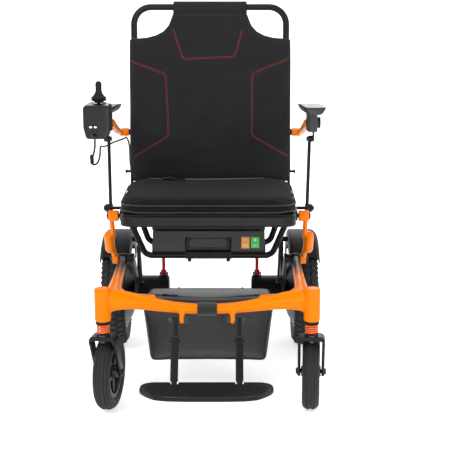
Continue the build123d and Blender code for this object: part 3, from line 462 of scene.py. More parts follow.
def roundedLine(line, radius, steps=5):  # a polyline in mm with its corners eased
    eased = [line[0]]
    for a, b, c in zip(line, line[1:], line[2:]):
        reach = min(radius, (a - b).length / 2, (c - b).length / 2)
        p, q = b + (a - b).normalized() * reach, b + (c - b).normalized() * reach
        for i in range(steps + 1):
            t = i / steps
            eased.append(p * (1 - t) ** 2 + b * 2 * t * (1 - t) + q * t ** 2)
    return eased + [line[-1]]


def walk(line, spacing):  # evenly spaced points and directions along a polyline
    spots, left = [], 0.0
    for a, b in zip(line, line[1:]):
        run = (b - a).length
        while left <= run:
            spots.append((a + (b - a) * (left / run), (b - a).normalized()))
            left += spacing
        left -= run
    return spots


def sewOn(bm, surface, spots, place, towards, length, width, raise_=0.0003):
    # short raised stitches, each laid on the surface that a ray meets
    for spot, direction in spots:
        origin = place(spot) - towards * 0.2
        hit, normal, _, _ = surface.ray_cast(origin, towards)
        if hit is None:
            continue
        ahead, _, _, _ = surface.ray_cast(place(spot + direction) - towards * 0.2, towards)
        run = ((ahead if ahead is not None else hit + Vector((1, 0, 0))) - hit)
        if run.length < 1e-9 or run.length > 0.02:
            continue
        run.normalize()
        side = normal.cross(run).normalized()
        turn = Matrix((run, side, normal)).transposed().to_4x4()
        block(bm, hit + normal * raise_, (length / 1000, width / 1000, 0.0009), turn)


def tubeAlong(bm, points, radius, sides=8, closed=False):
    # a round cord, piping or bead that follows points in metres
    rings = []
    count = len(points)
    for i, p in enumerate(points):
        before = points[(i - 1) % count] if closed or i else points[0]
        after = points[(i + 1) % count] if closed or i < count - 1 else points[-1]
        direction = (after - before).normalized()
        side = direction.cross(Vector((0, 0, 1)))
        if side.length < 0.05:
            side = direction.cross(Vector((1, 0, 0)))
        side.normalize()
        up = side.cross(direction).normalized()
        rings.append([p + side * math.cos(t) * radius + up * math.sin(t) * radius
                      for t in [math.tau * k / sides for k in range(sides)]])
    edges = [addLoop(bm, ring) for ring in rings]
    for near, far in zip(edges, edges[1:] + (edges[:1] if closed else [])):
        bmesh.ops.bridge_loops(bm, edges=near + far)
    if not closed:
        for ring in (edges[0], edges[-1]):
            bmesh.ops.contextual_create(bm, geom=ring)


def layOn(surface, points, lift):  # points moved to the nearest places on a surface, lifted in mm
    laid = []
    for p in points:
        hit, normal, _, _ = surface.find_nearest(p)
        laid.append(hit + normal * lift / 1000)
    return laid


def surfaceOf(piece):
    return BVHTree.FromPolygons([v.co for v in piece.data.vertices], [p.vertices for p in piece.data.polygons])


def cable(name, points, radius, body, replaced=()):
    # a cable held along its whole length, as a smooth spline through its route
    curve = bpy.data.curves.new(name, "CURVE")
    curve.dimensions = "3D"
    spline = curve.splines.new("NURBS")
    spline.points.add(len(points) - 1)
    for slotPoint, place in zip(spline.points, points):
        slotPoint.co = (*place, 1)
    spline.order_u = 3
    spline.use_endpoint_u = True
    spline.resolution_u = 8
    curve.bevel_depth = radius
    curve.bevel_resolution = 3
    curve.use_fill_caps = True
    piece = bpy.data.objects.new(name, curve)
    scene.collection.objects.link(piece)
    curve.materials.append(cableSheath)
    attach(piece, body)
    if replaced:
        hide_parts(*replaced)
    return piece


# castings and mouldings -----------------------------------------------------
castings = {  # CAD node: piece, voxel in mm, rounds of smoothing, finish
    "front_bow": ("castBow", 2.2, 10, bowPaintWithLegShade),
    "side_arms": ("castSideArms", 1.6, 9, orangePaint),
    "control_pod": ("controlHousing", 1.4, 3, glossAbs),
    "arm_clamp_left": ("armClampLeft", 1.3, 3, greyAbs),
    "arm_clamp_right": ("armClampRight", 1.3, 3, greyAbs),
    "battery_case": ("batteryCase", 1.8, 2, greyAbs),
    "caster_fork_left": ("casterForkLeft", 1.3, 4, blackPaint),
    "caster_fork_right": ("casterForkRight", 1.3, 4, blackPaint),
    "footrest_hanger": ("footrestHanger", 1.2, 2, blackPaint),
}
for cadName, (pieceName, voxel, rounds, material) in castings.items():
    cast(cadName, pieceName, voxel, rounds, material)
print("castings made")

# wheels -----------------------------------------------------------------------
driveWheel = {"centre": (254, 200, 152), "blocks": 48, "rows": (-17.5, 0, 17.5), "lugs": 64}
for sideName, side in (("left", 1), ("right", -1)):
    body = f"drive_wheel_{sideName}"
    centre = mm(side * driveWheel["centre"][0], *driveWheel["centre"][1:])
    axis = Vector((side, 0, 0))
    bm = bmesh.new()
    half = [(8, 148.6), (9, 147), (10, 148.4), (17, 146.5), (24, 142), (28.5, 136), (30.3, 129), (29.5, 122),
            (26.5, 112), (24, 104)]
    outline = [(-along, r) for along, r in half[::-1]] + [(0, 149.2)] + half
    spun(bm, outline, centre, axis, 96, closed=True)
    for k in range(driveWheel["blocks"]):
        for row, across in enumerate(driveWheel["rows"]):
            angle = math.tau * (k + 0.5 * (row % 2)) / driveWheel["blocks"]
            lift = 150.6 - (across / 28) ** 2 * 7
            place = centre + Vector((side * across, math.sin(angle) * lift, -math.cos(angle) * lift)) / 1000
            camber = Matrix.Rotation(math.radians(-across * side * 1.3), 4, "Y")
            spin = Matrix.Rotation(angle, 4, "X") @ camber @ Matrix.Rotation(0.3 * (row - 1), 4, "Z")
            block(bm, place, (0.0125, 0.0118, 0.0028), spin, bevel=0.0006)
    for k in range(driveWheel["lugs"]):  # shoulder lugs on both walls
        for wall in (-1, 1):
            angle = math.tau * k / driveWheel["lugs"]
            place = centre + Vector((wall * 27.2, math.sin(angle) * 138.5, -math.cos(angle) * 138.5)) / 1000
            spin = Matrix.Rotation(angle, 4, "X") @ Matrix.Rotation(math.radians(-55 * wall), 4, "Y")
            block(bm, place, (0.011, 0.0062, 0.0024), spin)
    keep(bm, f"driveTyre{sideName.title()}", body, tyreRubber, [f"drive_tyre_{sideName}"], angle=32)

    bm = bmesh.new()  # hub motor with a ribbed cover and a bead seat
    outline = [(-50, 9), (-50, 54), (-47, 58), (-43, 70), (-28, 97), (-27, 104), (-26, 106), (26, 106),
               (28, 104), (28, 99), (20, 96.5), (9, 95), (8, 92), (8, 52), (11, 44), (24, 38), (28, 35), (30, 33),
               (36.5, 30), (41.5, 20), (42, 17), (42, 0)]
    spun(bm, outline, centre, axis, 72)
    for k in range(10):
        angle = math.tau * k / 10
        spin = Matrix.Rotation(angle, 4, "X")
        place = centre + Vector((side * 15.5, math.sin(angle) * 67, -math.cos(angle) * 67)) / 1000
        block(bm, place, (0.013, 0.013, 0.054), spin, bevel=0.003)
    for k in range(5):
        angle = math.tau * (k + 0.5) / 5
        place = centre + Vector((side * 40.0, math.sin(angle) * 24.5, -math.cos(angle) * 24.5)) / 1000
        hexHead(bm, place, (side, 0, 0), 3.2, 2.6)
    for k in range(6):
        angle = math.tau * k / 6
        place = centre + Vector((side * -51.5, math.sin(angle) * 50, -math.cos(angle) * 50)) / 1000
        hexHead(bm, place, (side, 0, 0), 5.5, 3)
    keep(bm, f"hubMotor{sideName.title()}", body, rimCoat, [f"drive_rim_{sideName}"], angle=35)

for sideName, side, turn in (("left", 1, -4.5), ("right", -1, -9.0)):
    body = f"caster_wheel_{sideName}"
    t = math.radians(turn)
    axis = Vector((math.cos(t), math.sin(t), 0))
    centre = mm(side * 237 - 45 * math.sin(t), -325 + 45 * math.cos(t), 89)
    bm = bmesh.new()
    half = [(2.4, 87.2), (3.2, 88.9), (7.9, 88.2), (8.7, 86.4), (9.5, 87.8), (13.6, 85.6), (14.6, 83.6),
            (15.5, 84.2), (18.6, 80), (19.9, 75), (19.4, 70), (17.5, 64), (15, 61)]
    outline = [(-along, r) for along, r in half[::-1]] + [(0, 87.2)] + half
    spun(bm, outline, centre, axis, 96, closed=True)
    across = Matrix.Rotation(t, 4, "Z")
    for k in range(60):  # sipes between the ribs, as raised bars
        for row in (-6, 6):
            angle = math.tau * (k + 0.25 * (row > 0)) / 60
            place = centre + across @ (Vector((row, math.sin(angle) * 88.2, -math.cos(angle) * 88.2)) / 1000)
            spin = across @ Matrix.Rotation(angle, 4, "X") @ Matrix.Rotation(0.5 if row > 0 else -0.5, 4, "Z")
            block(bm, place, (0.0042, 0.0024, 0.0013), spin)
    keep(bm, f"casterTyre{sideName.title()}", body, tyreRubber, [f"caster_tyre_{sideName}"], angle=30)

    bm = bmesh.new()  # five-spoke nylon centre
    spun(bm, [(-15, 52), (-15, 61), (15, 61), (15, 52), (11, 50.5), (-11, 50.5)], centre, axis, 72, closed=True)
    spun(bm, [(-23, 4.2), (-23, 11), (-20, 13), (-12, 15), (12, 15), (20, 13), (23, 11), (23, 4.2)],
         centre, axis, 40, closed=True)
    spun(bm, [(-2.2, 12), (-2.2, 52), (2.2, 52), (2.2, 12)], centre, axis, 60, closed=True)
    for k in range(5):
        for wall in (-1, 1):
            angle = math.tau * k / 5
            spin = across @ Matrix.Rotation(angle, 4, "X")
            out = Vector((wall * 6, math.sin(angle) * 32.5, -math.cos(angle) * 32.5)) / 1000
            place = centre + across @ out
            block(bm, place, (0.010, 0.011, 0.041), spin, bevel=0.0025)
    keep(bm, f"casterCentre{sideName.title()}", body, rimCoat,
         [f"caster_rim_{sideName}"], angle=35)

# coil springs between the heads' collars and the forks
spring = {"foot": 195.3, "top": 219.2, "travel": 12}
for sideName, side in (("left", 1), ("right", -1)):
    cadName = f"caster_spring_{sideName}"
    coil = keep(copyOf(cadName), f"casterSpring{sideName.title()}", nodeBodies[cadName],
                springPaint, [cadName])
    height = spring["top"] - spring["foot"]
    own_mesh(coil)

for sideName, side in (("left", 1), ("right", -1)):
    centre = mm(side * 100, 420, 46)
    bm = bmesh.new()
    half = [(1.4, 27), (2, 28), (6.5, 27.8), (8.6, 26), (8.5, 23), (5, 21), (5, 12), (9.5, 10), (9.5, 4.2)]
    spun(bm, [(-along, r) for along, r in half[::-1]] + half, centre, (1, 0, 0), 56, closed=True)
    keep(bm, f"antiTipWheel{sideName.title()}", f"anti_tip_wheel_{sideName}", tyreRubber,
         [f"anti_tip_wheel_{sideName}"], angle=30)
print("wheels made")

# seat cushion ---------------------------------------------------------------------
cushion = {"halfWidth": 212, "front": -6, "depth": 370, "corner": 58, "voxel": 5, "pressure": 4, "cap": 9,
           "lift": 3.6, "flare": 5}
tiltAngle = math.radians(2.0)
seatRight = Vector((1, 0, 0))
seatBack = Vector((0, math.cos(tiltAngle), -math.sin(tiltAngle)))
seatUp = Vector((0, math.sin(tiltAngle), math.cos(tiltAngle)))
seatEdge = mm(0, -170, 434)


def onSeat(x, back, up):  # a point of the seat plane, mm across, back from the front edge and up
    return seatEdge + (seatRight * x + seatBack * back + seatUp * up) / 1000


def seatOutline(inset, up, steps=9):
    half, corner = cushion["halfWidth"] - inset, max(cushion["corner"] - inset, 12)
    near, far = cushion["front"] + inset, cushion["front"] + cushion["depth"] - inset
    points = []
    for cx, cy, first in ((half - corner, far - corner, 0), (-half + corner, far - corner, 90),
                          (-half + corner, near + corner, 180), (half - corner, near + corner, 270)):
        for k in range(steps + 1):
            t = math.radians(first + 90 * k / steps)
            x, back = cx + corner * math.cos(t), cy + corner * math.sin(t)
            points.append(onSeat(x * (1 + cushion["flare"] * back / cushion["depth"] / half), back, up))
    return points


bm = bmesh.new()
levels = [(8, 0), (1.5, 3), (0, 8), (1, 15), (0, 22), (5, 27), (16, 29), (60, 31), (120, 32)]
loft(bm, [seatOutline(inset, cushion["lift"] + up) for inset, up in levels])
seatPad = keep(bm, "seatCushion", "seat", seatMesh, ["seat_cushion"])


def offBoard(point):  # the cushion rests flat on the board
    height = (point - seatEdge).dot(seatUp)
    return point + seatUp * max(0.0, cushion["lift"] / 1000 - height)


puff(seatPad, cushion["voxel"], cushion["pressure"], cushion["cap"], seatUp, offBoard)
for vertex in seatPad.data.vertices:  # two sewn lines round the border, and a shallow hollow to sit in
    local = vertex.co - seatEdge
    x, back, up = local.x * 1000, local.dot(seatBack) * 1000, local.dot(seatUp) * 1000
    rim = min(cushion["halfWidth"] - abs(x), back - cushion["front"],
              cushion["front"] + cushion["depth"] - back)
    pull = 1.6 * math.exp(-((up - 14.5) / 2.6) ** 2) * (rim < 14)
    outward = Vector((math.copysign(1, x) if cushion["halfWidth"] - abs(x) < 14 else 0,
                      -1 if back - cushion["front"] < 14 else 0, 0))
    if outward.length:
        vertex.co -= outward.normalized() * pull / 1000
    if up > 24:
        seam = 1.8 * math.exp(-((rim - 22) / 3.2) ** 2)
        hollow = 3.0 * math.exp(-((x / 120) ** 2 + ((back - 190) / 110) ** 2))
        vertex.co -= seatUp * (seam + hollow) / 1000

seatSurface = surfaceOf(seatPad)
bm = bmesh.new()  # piping round the top and bottom edges
for inset, up in ((0.5, 23.5), (2.0, 5.0)):
    ring = layOn(seatSurface, seatOutline(inset - 1.5, cushion["lift"] + up, 8), 0.4)
    tubeAlong(bm, ring, 0.0016, 8, closed=True)
keep(bm, "seatPiping", "seat", webCloth)
print("seat cushion made")

# back cover --------------------------------------------------------------------------
backCover = {"front": 23.5, "voxel": 5, "pressure": 4, "cap": 7}
leanAngle = math.atan2(302 - 267, 906 - 440)
backUp = Vector((0, math.sin(leanAngle), math.cos(leanAngle)))
backOut = Vector((0, -math.cos(leanAngle), math.sin(leanAngle)))  # towards the occupant
backFoot = mm(0, 267, 440)


def onBack(x, up, out):  # mm across, up the lean and out from the tubes' middle
    return backFoot + (seatRight * x + backUp * up + backOut * out) / 1000


halfOutline = [Vector(p) for p in (
    (0, 0), (90, 0), (160, 0), (186, 0), (203, 4), (215, 14), (219, 30), (219, 80), (219.5, 140),
    (219.5, 200), (219, 260), (218, 320), (216.5, 383), (205, 384.5), (188, 385.5), (168, 388), (146, 395),
    (126, 406), (112, 420), (104, 436), (98, 457), (60, 458), (0, 458))]
coverOutline = halfOutline + [Vector((-p.x, p.y)) for p in reversed(halfOutline[1:-1])]
bm = bmesh.new()


def coverRing(share, out):  # the outline drawn in by mm, at a depth
    ring = []
    count = len(coverOutline)
    for i, p in enumerate(coverOutline):
        along = (coverOutline[(i + 1) % count] - coverOutline[i - 1]).normalized()
        inward = Vector((-along.y, along.x))
        ring.append(onBack(*(p + inward * share), out))
    return ring


front = backCover["front"]
loft(bm, [coverRing(inset, front - behind)
          for inset, behind in ((4, 14.2), (1, 12), (0, 8), (1, 4), (5, 1.2), (11, 0))])
backPad = keep(bm, "backCover", "backrest", litCoverMesh, ["back_cover"])


def offTubes(point):  # the cover lies flat against the tubes behind it
    out = (point - backFoot).dot(backOut) * 1000
    return point + backOut * max(0.0, front - 14.4 - out) / 1000


puff(backPad, backCover["voxel"], backCover["pressure"], backCover["cap"], backOut, offTubes)
seamLines = [  # mm across and up the cover, from the sewn panels of its front
    [Vector(p) for p in ((-98, 408), (-72, 330), (66, 336), (86, 408))],
    [Vector(p) for p in ((-218, 326), (-119, 290), (-112, 126), (-204, 68))],
    [Vector(p) for p in ((218, 334), (113, 292), (112, 126), (214, 68))],
]
seamLines = [roundedLine(line, 12) for line in seamLines]
for vertex in backPad.data.vertices:
    local = vertex.co - backFoot
    spot = Vector((local.x * 1000, local.dot(backUp) * 1000))
    out = local.dot(backOut) * 1000
    if out > front - 9:
        groove = max(1.7 * math.exp(-(nearLine(spot, line) / 4.5) ** 2) for line in seamLines)
        lumbar = 2.2 * math.exp(-((spot.x / 75) ** 2 + ((spot.y - 190) / 150) ** 2))
        vertex.co -= backOut * (groove - lumbar) / 1000
surface = surfaceOf(backPad)
bm = bmesh.new()
for line in seamLines:
    for offset in (-1.8, 1.8):
        shifted = []
        for i, p in enumerate(line):
            along = (line[min(i + 1, len(line) - 1)] - line[max(i - 1, 0)]).normalized()
            shifted.append(p + Vector((-along.y, along.x)) * offset)
        sewOn(bm, surface, walk(shifted, 4.6), lambda p: onBack(p.x, p.y, 0), -backOut * 1.0, 3.5, 0.9)
backStitching = keep(bm, "backStitching", "backrest", redThread, smooth=False)

bm = bmesh.new()  # bound edge of the cover
tubeAlong(bm, layOn(surface, coverRing(-1, front - 6.5), 0.5), 0.0019, 8, closed=True)
backBinding = keep(bm, "backBinding", "backrest", webCloth)
for piece in (backPad, backStitching, backBinding):  # each piece gets a mesh of its own
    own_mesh(piece)

# flap that folds over the push bar
flap = {"bar": (302, 906)}
section = [(-22.5, -16), (-22.8, -8), (-20.5, 0), (-15.5, 8.4), (-8, 14.0), (0, 15.2), (8, 12.6), (12.4, 5),
           (13, -6), (13.2, -28), (13.0, -46), (10.4, -46), (10.2, -28), (9.9, -6), (9.4, 2.2), (5.8, 7.9),
           (0, 9.9), (-6.6, 9.0), (-13.4, 4.6), (-17.6, -1.2), (-19.2, -9), (-18.8, -16)]
bm = bmesh.new()
hem = [(98, 0.93), (97, 0.99), (94, 1.0)]
stations = [(-x, size) for x, size in hem] + [(x, 1.0) for x in range(-84, 85, 12)] + hem[::-1]
loops = []
for x, size in stations:
    ripple = 0.5 * math.sin(x / 17.0) + 0.35 * math.sin(x / 7.3 + 1)
    loops.append([mm(x, flap["bar"][0] + (y - 0) * size + (ripple if z < -20 else 0), flap["bar"][1] + z * size)
                  for y, z in section])
loft(bm, loops)
keep(bm, "headFlap", "backrest", litCoverMesh, ["head_flap"], angle=60)
print("back cover made")

# arm pads -----------------------------------------------------------------------------
armPad = {"half": 257, "front": (-78, 662), "slope": 4.5, "long": 262}
rise = math.radians(armPad["slope"])
padBack = Vector((0, math.cos(rise), -math.sin(rise)))
padUp = Vector((0, math.sin(rise), math.cos(rise)))
halfSection = [(14, 20), (24, 20.8), (26.9, 19.4), (27.1, 16.5), (24.8, 12), (21.5, 6.5), (17.5, 2.2), (13, 0)]
padSection = [(-x, z) for x, z in halfSection[::-1]] + [(0, 19.6)] + halfSection
for sideName, side in (("left", 1), ("right", -1)):
    bm = bmesh.new()
    loops = []
    ends = [(0.6, 0.72), (2.5, 0.86), (7, 0.95), (15, 1.0)]
    stations = ends + [(x, 1.0) for x in range(35, 230, 20)] + [(262 - d, s) for d, s in reversed(ends)]
    for back, size in stations:
        crown = 1.3 * math.sin(math.pi * back / armPad["long"])
        loops.append([mm(side * armPad["half"], *armPad["front"])
                      + (seatRight * side * x * size + padBack * back
                         + padUp * ((z - 10) * size + 10 + (crown if z > 15 else 0))) / 1000
                      for x, z in padSection])
    loft(bm, loops)
    pad = keep(bm, f"armPad{sideName.title()}", f"armrest_{sideName}", padSkin,
               [f"arm_pad_{sideName}"])
    ease = pad.modifiers.new("ease", "SUBSURF")
    ease.levels = ease.render_levels = 2
    useModifiers(pad)
    pad.data.shade_smooth()
print("arm pads made")

# bag under the seat -----------------------------------------------------------------
bag = {"top": 158, "foot": 139, "front": -211, "rear": 64.5, "low": 85, "frontTop": 246, "rearTop": 192,
       "voxel": 5, "pressure": 2.2, "cap": 6}
bm = bmesh.new()
made = bmesh.ops.create_cube(bm, size=2.0)
for vertex in made["verts"]:
    x, y, z = vertex.co
    half = bag["top"] if z > 0 else bag["foot"]
    if y < 0:
        depth = bag["front"] if z > 0 else bag["front"] + 6
    else:
        depth = bag["rear"] if z > 0 else bag["rear"] - 14
    height = bag["low"] if z < 0 else (bag["frontTop"] if y < 0 else bag["rearTop"])
    vertex.co = mm(x * half, depth, height)
bmesh.ops.bevel(bm, geom=list(bm.edges), offset=0.009, offset_type="OFFSET", segments=3, profile=0.5,
                affect="EDGES", material=-1)
bagShell = keep(bm, "underBag", "base", bagCloth, ["under_bag"])
puff(bagShell, bag["voxel"], bag["pressure"], bag["cap"], Vector((0, -1, 0)))
crease = random.Random(7)
folds = [(crease.uniform(-120, 120), crease.uniform(100, 220), crease.uniform(-0.9, 0.9),
          crease.uniform(18, 40)) for _ in range(9)]
for vertex in bagShell.data.vertices:  # sags towards the foot, with soft folds on the front
    x, y, z = vertex.co.x * 1000, vertex.co.y * 1000 - backShift, vertex.co.z * 1000
    if y < bag["front"] + 25:
        wave = sum(math.exp(-(((x - fx) * math.cos(a) + (z - fz) * math.sin(a)) / 5) ** 2
                            - (((z - fz) * math.cos(a) - (x - fx) * math.sin(a)) / reach) ** 2)
                   for fx, fz, a, reach in folds)
        vertex.co.y += 0.0012 * wave
    if z > 180:
        vertex.co.z -= 0.006 * math.exp(-((x / 95) ** 2)) * (z - 180) / 60

bm = bmesh.new()  # piping where the bag's panels are sewn together
edge = [(130, 87), (138, 92), (141, 110), (147, 160), (153, 212), (156.5, 240), (148, 245), (60, 240.5)]
frontRing = [(-x, z) for x, z in edge[5::-1]] + [(0, 85.5)] + edge + [(0, 239), (-60, 240.5), (-148, 245)]
ring = layOn(surfaceOf(bagShell), [mm(x, bag["front"] + 1, z) for x, z in frontRing], 0.3)
tubeAlong(bm, ring, 0.0018, 8, closed=True)
keep(bm, "bagPiping", "base", webCloth)

bm = bmesh.new()  # zip along the top: a tape, the closed teeth and a slider with its pull
zipLine = [mm(x, -168 - 6 * math.cos(x / 95), 241.5 - 8.0 * math.exp(-((x / 95) ** 2)))
           for x in range(-136, 137, 8)]
for a, b in zip(zipLine, zipLine[1:]):
    turn = (b - a).to_track_quat("X", "Z").to_matrix().to_4x4()
    block(bm, (a + b) / 2, ((b - a).length * 1.02, 0.024, 0.0012), turn)
keep(bm, "zipTape", "base", webCloth, smooth=False)
bm = bmesh.new()
for spot, direction in walk([p.copy() for p in zipLine], 0.0024):
    turn = direction.to_track_quat("X", "Z").to_matrix().to_4x4()
    block(bm, spot + Vector((0, 0, 0.0012)), (0.0014, 0.0058, 0.0016), turn)
block(bm, zipLine[4] + Vector((0, 0, 0.003)), (0.012, 0.009, 0.004), bevel=0.0012)
block(bm, zipLine[4] + Vector((0.018, -0.002, 0.0032)), (0.026, 0.006, 0.0016), bevel=0.0005)
keep(bm, "zipTeeth", "base", blackNylon, smooth=False)

# straps that hold the bag to the bow and the front cross tube
strap = {"bow": 1.9, "tube": 1.8}  # mm thick


def band(route, thick):  # the closed section of a strap that follows a route of (y, z)
    outer, inner = [], []
    for i, p in enumerate(route):
        here = Vector(p)
        along = (Vector(route[min(i + 1, len(route) - 1)]) - Vector(route[max(i - 1, 0)])).normalized()
        away = Vector((-along.y, along.x)) * thick / 2
        outer.append(here + away)
        inner.append(here - away)
    return outer + inner[::-1]


bm = bmesh.new()
around = []
for k in range(27):
    t = math.radians(200 + 320 * k / 26)
    around.append((-335 - 16.4 * math.cos(t), 257 - 14.0 * math.sin(t)))
route = [(-213.6, 214), (-214.4, 226), (-216.5, 233), (-250, 240.5), (-290, 249), (-316, 254)] + around[1:-1] \
    + [(-318.5, 260.2), (-300, 258)]
section = band(route, strap["bow"])
loft(bm, [[mm(x, p.x, p.y) for p in section] for x in (-22, -21, -11, 0, 11, 21, 22)])
keep(bm, "bowStrap", "base", webCloth, ["bag_straps"], angle=50)
bm = bmesh.new()
for low in (-112, 88):
    around = []
    for k in range(25):
        t = math.radians(-40 + 300 * k / 24)
        around.append((100 - 12.4 * math.cos(t), 155 + 12.4 * math.sin(t)))
    route = [(64.6, 182), (72, 175), (80, 167)] + around + [(86, 162), (74, 177)]
    section = band(route, strap["tube"])
    loft(bm, [[mm(x, p.x, p.y) for p in section] for x in (low, low + 1, low + 12, low + 23, low + 24)])
keep(bm, "tubeStraps", "base", webCloth, angle=50)
print("bag made")

# seat belt lying across the back of the cushion ----------------------------------------
beltBack = cushion["front"] + cushion["depth"]


def overCushion(x, back, gap=0.9):  # a point a little above the cushion
    hit, normal, _, _ = seatSurface.ray_cast(onSeat(x, back, 120), -seatUp)
    return (hit if hit is not None else onSeat(x, back, 34)) + seatUp * gap / 1000


bm = bmesh.new()
beltRuns = [
    [(-64, -58), (-40, -60), (0, -56), (40, -53), (78, -48), (112, -41), (140, -28), (156, -14)],
    [(-122, -56), (-140, -50), (-156, -38), (-170, -22)],
]
for run in beltRuns:
    loops = []
    for i, (x, back) in enumerate(run):
        a, b = Vector(run[max(i - 1, 0)]), Vector(run[min(i + 1, len(run) - 1)])
        side = Vector((-(b - a).y, (b - a).x)).normalized() * 12
        near, far = (x - side.x, beltBack + back - side.y), (x + side.x, beltBack + back + side.y)
        low = [overCushion(*near, 0.5), overCushion(x, beltBack + back, 0.5), overCushion(*far, 0.5)]
        loops.append(low + [p + seatUp * 0.0015 for p in reversed(low)])
    loft(bm, loops)
keep(bm, "beltWebbing", "seat", webCloth, ["seat_belt"], angle=50)
bm = bmesh.new()
spot = overCushion(-78, beltBack - 58, 2.6)
block(bm, spot, (0.028, 0.026, 0.0042), bevel=0.0014)
block(bm, spot + Vector((-0.016, 0, 0.0005)), (0.016, 0.014, 0.003), bevel=0.001)
block(bm, spot + Vector((0.009, 0, 0.0026)), (0.004, 0.026, 0.002), bevel=0.0006)
spot = overCushion(-106, beltBack - 56, 4.6)
block(bm, spot, (0.034, 0.030, 0.0086), bevel=0.0028)
block(bm, spot + Vector((0.002, 0, 0.0046)), (0.016, 0.019, 0.0022), bevel=0.0009)
keep(bm, "beltBuckle", "seat", glossAbs, angle=40)
print("belt made")

# joystick, lamps, socket bezel and speed bar of the control housing ------------------------------------
stick = {"place": (-257, -121, 686)}
centre = mm(*stick["place"])
bm = bmesh.new()
outline = [(5.8, 0), (5.8, 3), (12, 4), (12.8, 10.5), (14.9, 11.5), (17.0, 16.8), (18.4, 18.4), (19.6, 18.4),
           (20.6, 16.8), (21.2, 15.0), (22.0, 17.6), (23.4, 18.2), (25.0, 17.0), (28.5, 13.2), (32.5, 10.2),
           (36.5, 8.2), (40, 7.3), (47, 7.2), (54, 7.5), (58.5, 7.0), (61.2, 5.2), (62.4, 2.6), (62.5, 0)]
spun(bm, outline, centre, (0, 0, 1), 48)
keep(bm, "joystickBoot", "joystick", blackNylon, ["joystick"], angle=38)

bm = bmesh.new()  # lamps of the front face and a bezel round the charging socket
for x in (-275, -264):
    made = bmesh.ops.create_uvsphere(bm, u_segments=20, v_segments=10, radius=1.0)
    size = Matrix.Diagonal((0.0038, 0.0014, 0.0026, 1))
    bmesh.ops.transform(bm, matrix=Matrix.Translation(mm(x, -146.0, 643)) @ size, verts=made["verts"])
keep(bm, "housingLamps", "armrest_right", clearLens)
bm = bmesh.new()
spun(bm, [(-1.4, 3.8), (-1.8, 5), (-1.8, 7.6), (-0.6, 8.8), (0.6, 8.8), (0.6, 6.4), (4, 5.9), (4, 3.8)],
     mm(-266, -146.2, 626), (0, 1, 0), 40, closed=True)
keep(bm, "socketBezel", "armrest_right", glossAbs)
bm = bmesh.new()  # speed bar on the top of the housing
for k in range(5):
    block(bm, mm(-282 + 6 * k, -104, 694.3), (0.0042, 0.0026, 0.0008), bevel=0.0002)
keep(bm, "speedMarks", "armrest_right", whiteInk, smooth=False)

# marks of the battery ------------------------------------------------------------
bm = bmesh.new()
block(bm, mm(90, -84.4, 350), (0.020, 0.0009, 0.029), bevel=0.0004)
keep(bm, "batteryMarkOrange", "battery", orangeVinyl, smooth=False)
bm = bmesh.new()
block(bm, mm(114, -84.4, 350.5), (0.020, 0.0009, 0.028), bevel=0.0004)
keep(bm, "batteryMarkGreen", "battery", greenVinyl, smooth=False)
bm = bmesh.new()
for x, z, wide, tall in ((90, 357, 0.012, 0.001), (90, 345, 0.013, 0.001), (90, 341, 0.013, 0.001),
                         (114, 343, 0.011, 0.001), (114, 357, 0.005, 0.005)):
    block(bm, mm(x, -84.95, z), (wide, 0.0004, tall))
keep(bm, "batteryMarkLines", "battery", whiteInk, smooth=False)
print("controls and marks made")

# footplate -------------------------------------------------------------------------------------
cast("footplate", "footplateBoard", 1.6, 3, blackNylon)
plateRise = math.radians(8.3)
plateFront = Vector((0, -math.cos(plateRise), math.sin(plateRise)))
plateUp = Vector((0, math.sin(plateRise), math.cos(plateRise)))
plateHinge = mm(0, -439, 112)


def onPlate(x, ahead, up):
    return plateHinge + (seatRight * x + plateFront * ahead + plateUp * up) / 1000


bm = bmesh.new()  # grip ribs on the top
for k in range(9):
    ahead = 24 + 11 * k
    half = 128 - max(0, ahead - 60) * 0.32
    turn = Matrix.Rotation(-plateRise, 4, "X")
    block(bm, onPlate(0, ahead, 4.7), (half * 2 / 1000, 0.0032, 0.0016), turn, bevel=0.0005)
keep(bm, "footplateRibs", "footplate", blackNylon)
bm = bmesh.new()  # metal trim round the front edge of the plate
edge = [(50, 132.5), (85, 127), (112, 114), (127, 92), (136, 66), (140, 44)]
edge = [(-x, ahead) for x, ahead in edge[::-1]] + [(0, 134.2)] + edge
tubeAlong(bm, [onPlate(x * 0.993, y - 1.6, 4.1) for x, y in edge], 0.0011, 6)
keep(bm, "footplateTrim", "footplate", darkSteel)

# fixings: a bolt head on each pivot, one piece for each body -----------------------------
fixings = {
    "base": [(249, 0, 288), (85, -350, 236)],
    "seat": [(248, -80, 417), (259, -40, 428), (221.2, 190, 413)],
    "backrest": [(249.5, 277, 573), (231, 269, 466)],
}
for body, places in fixings.items():
    bm = bmesh.new()
    for x, y, z in places:
        for side in (-1, 1):
            hexHead(bm, mm(side * (x + 0.6), y, z), (side, 0, 0), 3.6, 2.2)
    keep(bm, f"{body}Bolts", body, darkSteel)

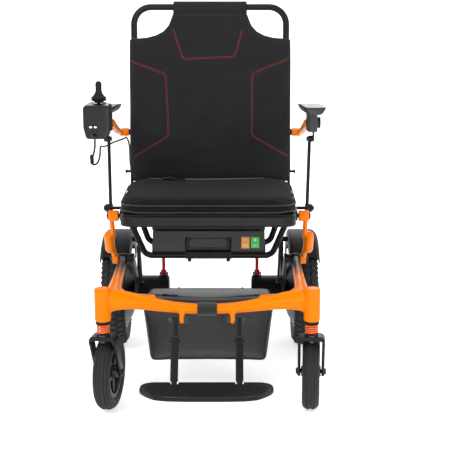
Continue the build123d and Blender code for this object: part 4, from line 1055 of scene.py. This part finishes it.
# cables -----------------------------------------------------------------------------------------
armRoute = [
    (-269, -118, 613.5), (-269, -117, 600), (-271, -112, 583), (-277, -104, 566), (-281, -92, 551),
    (-280, -74, 541), (-272, -54, 541), (-268, -34, 551), (-269, -10, 564), (-272, 20, 570),
    (-275, 54, 568), (-275, 92, 561), (-273, 132, 555), (-268, 172, 553), (-260, 208, 554),
    (-247, 238, 555), (-234, 262, 557)]
backRoute = [
    (-229, 281, 558), (-225, 291, 549), (-222, 293, 532), (-221, 291, 510), (-221, 289, 488),
    (-218, 284, 472), (-214.2, 279.6, 456), (-214.2, 278.9, 440)]
cable("armCable", [mm(*p) for p in armRoute], 0.0024, "armrest_right", ["arm_cable"])
cable("backCable", [mm(*p) for p in backRoute], 0.0024, "backrest", ["back_cable"])
bm = bmesh.new()  # loop that takes up the armrest's turn
loopRoute = [(-235, 260, 556.8), (-233, 265, 557.4), (-231.2, 270, 558), (-229.9, 275.5, 558.4), (-229, 281, 558),
             (-228, 283.5, 556)]
tubeAlong(bm, [mm(*p) for p in loopRoute], 0.0024, 12)
mesh = bpy.data.meshes.new("cableLoop")
bmesh.ops.recalc_face_normals(bm, faces=bm.faces)
bm.to_mesh(mesh)
bm.free()
mesh.materials.append(cableSheath)
mesh.shade_smooth()
cableLoop = bpy.data.objects.new("cableLoop", mesh)
scene.collection.objects.link(cableLoop)
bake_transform(cableLoop)
bm = bmesh.new()  # connector on the cable and the tie that holds it
block(bm, mm(-279.4, -98.5, 559), (0.0085, 0.011, 0.024), Matrix.Rotation(0.45, 4, "X"), bevel=0.0022)
block(bm, mm(-267, 176, 553.2), (0.0062, 0.0035, 0.0075), bevel=0.0012)
keep(bm, "cableFittings", "armrest_right", blackNylon)
print("cables and fixings made")

# floor and backdrop, one sheet that curves up behind ------------------------------------------------
bm = bmesh.new()
profile = [(-6, 0), (2.2, 0)] + [(2.2 + 1.6 * math.sin(t), 1.6 - 1.6 * math.cos(t))
                                 for t in [math.radians(a) for a in range(9, 91, 9)]] + [(3.8, 6)]
corners = [bm.verts.new((-8, y, z)) for y, z in profile]
edges = [bm.edges.new((a, b)) for a, b in zip(corners, corners[1:])]
made = bmesh.ops.extrude_edge_only(bm, edges=edges)
bmesh.ops.translate(bm, vec=(16, 0, 0), verts=[g for g in made["geom"] if isinstance(g, bmesh.types.BMVert)])
mesh = bpy.data.meshes.new("floor")
bm.to_mesh(mesh)
bm.free()
mesh.shade_smooth()
floorSheet = bpy.data.objects.new("floor", mesh)
scene.collection.objects.link(floorSheet)
paper, tree, shader = newMaterial("studioPaper", "f4f4f3", 0.9, Emission_Color=(1, 1, 1, 1),
                                  Emission_Strength=0.6)
mottle(tree, shader, ("f5f5f4", "f1f1f0"), 400)
mesh.materials.append(paper)

print("scene done")
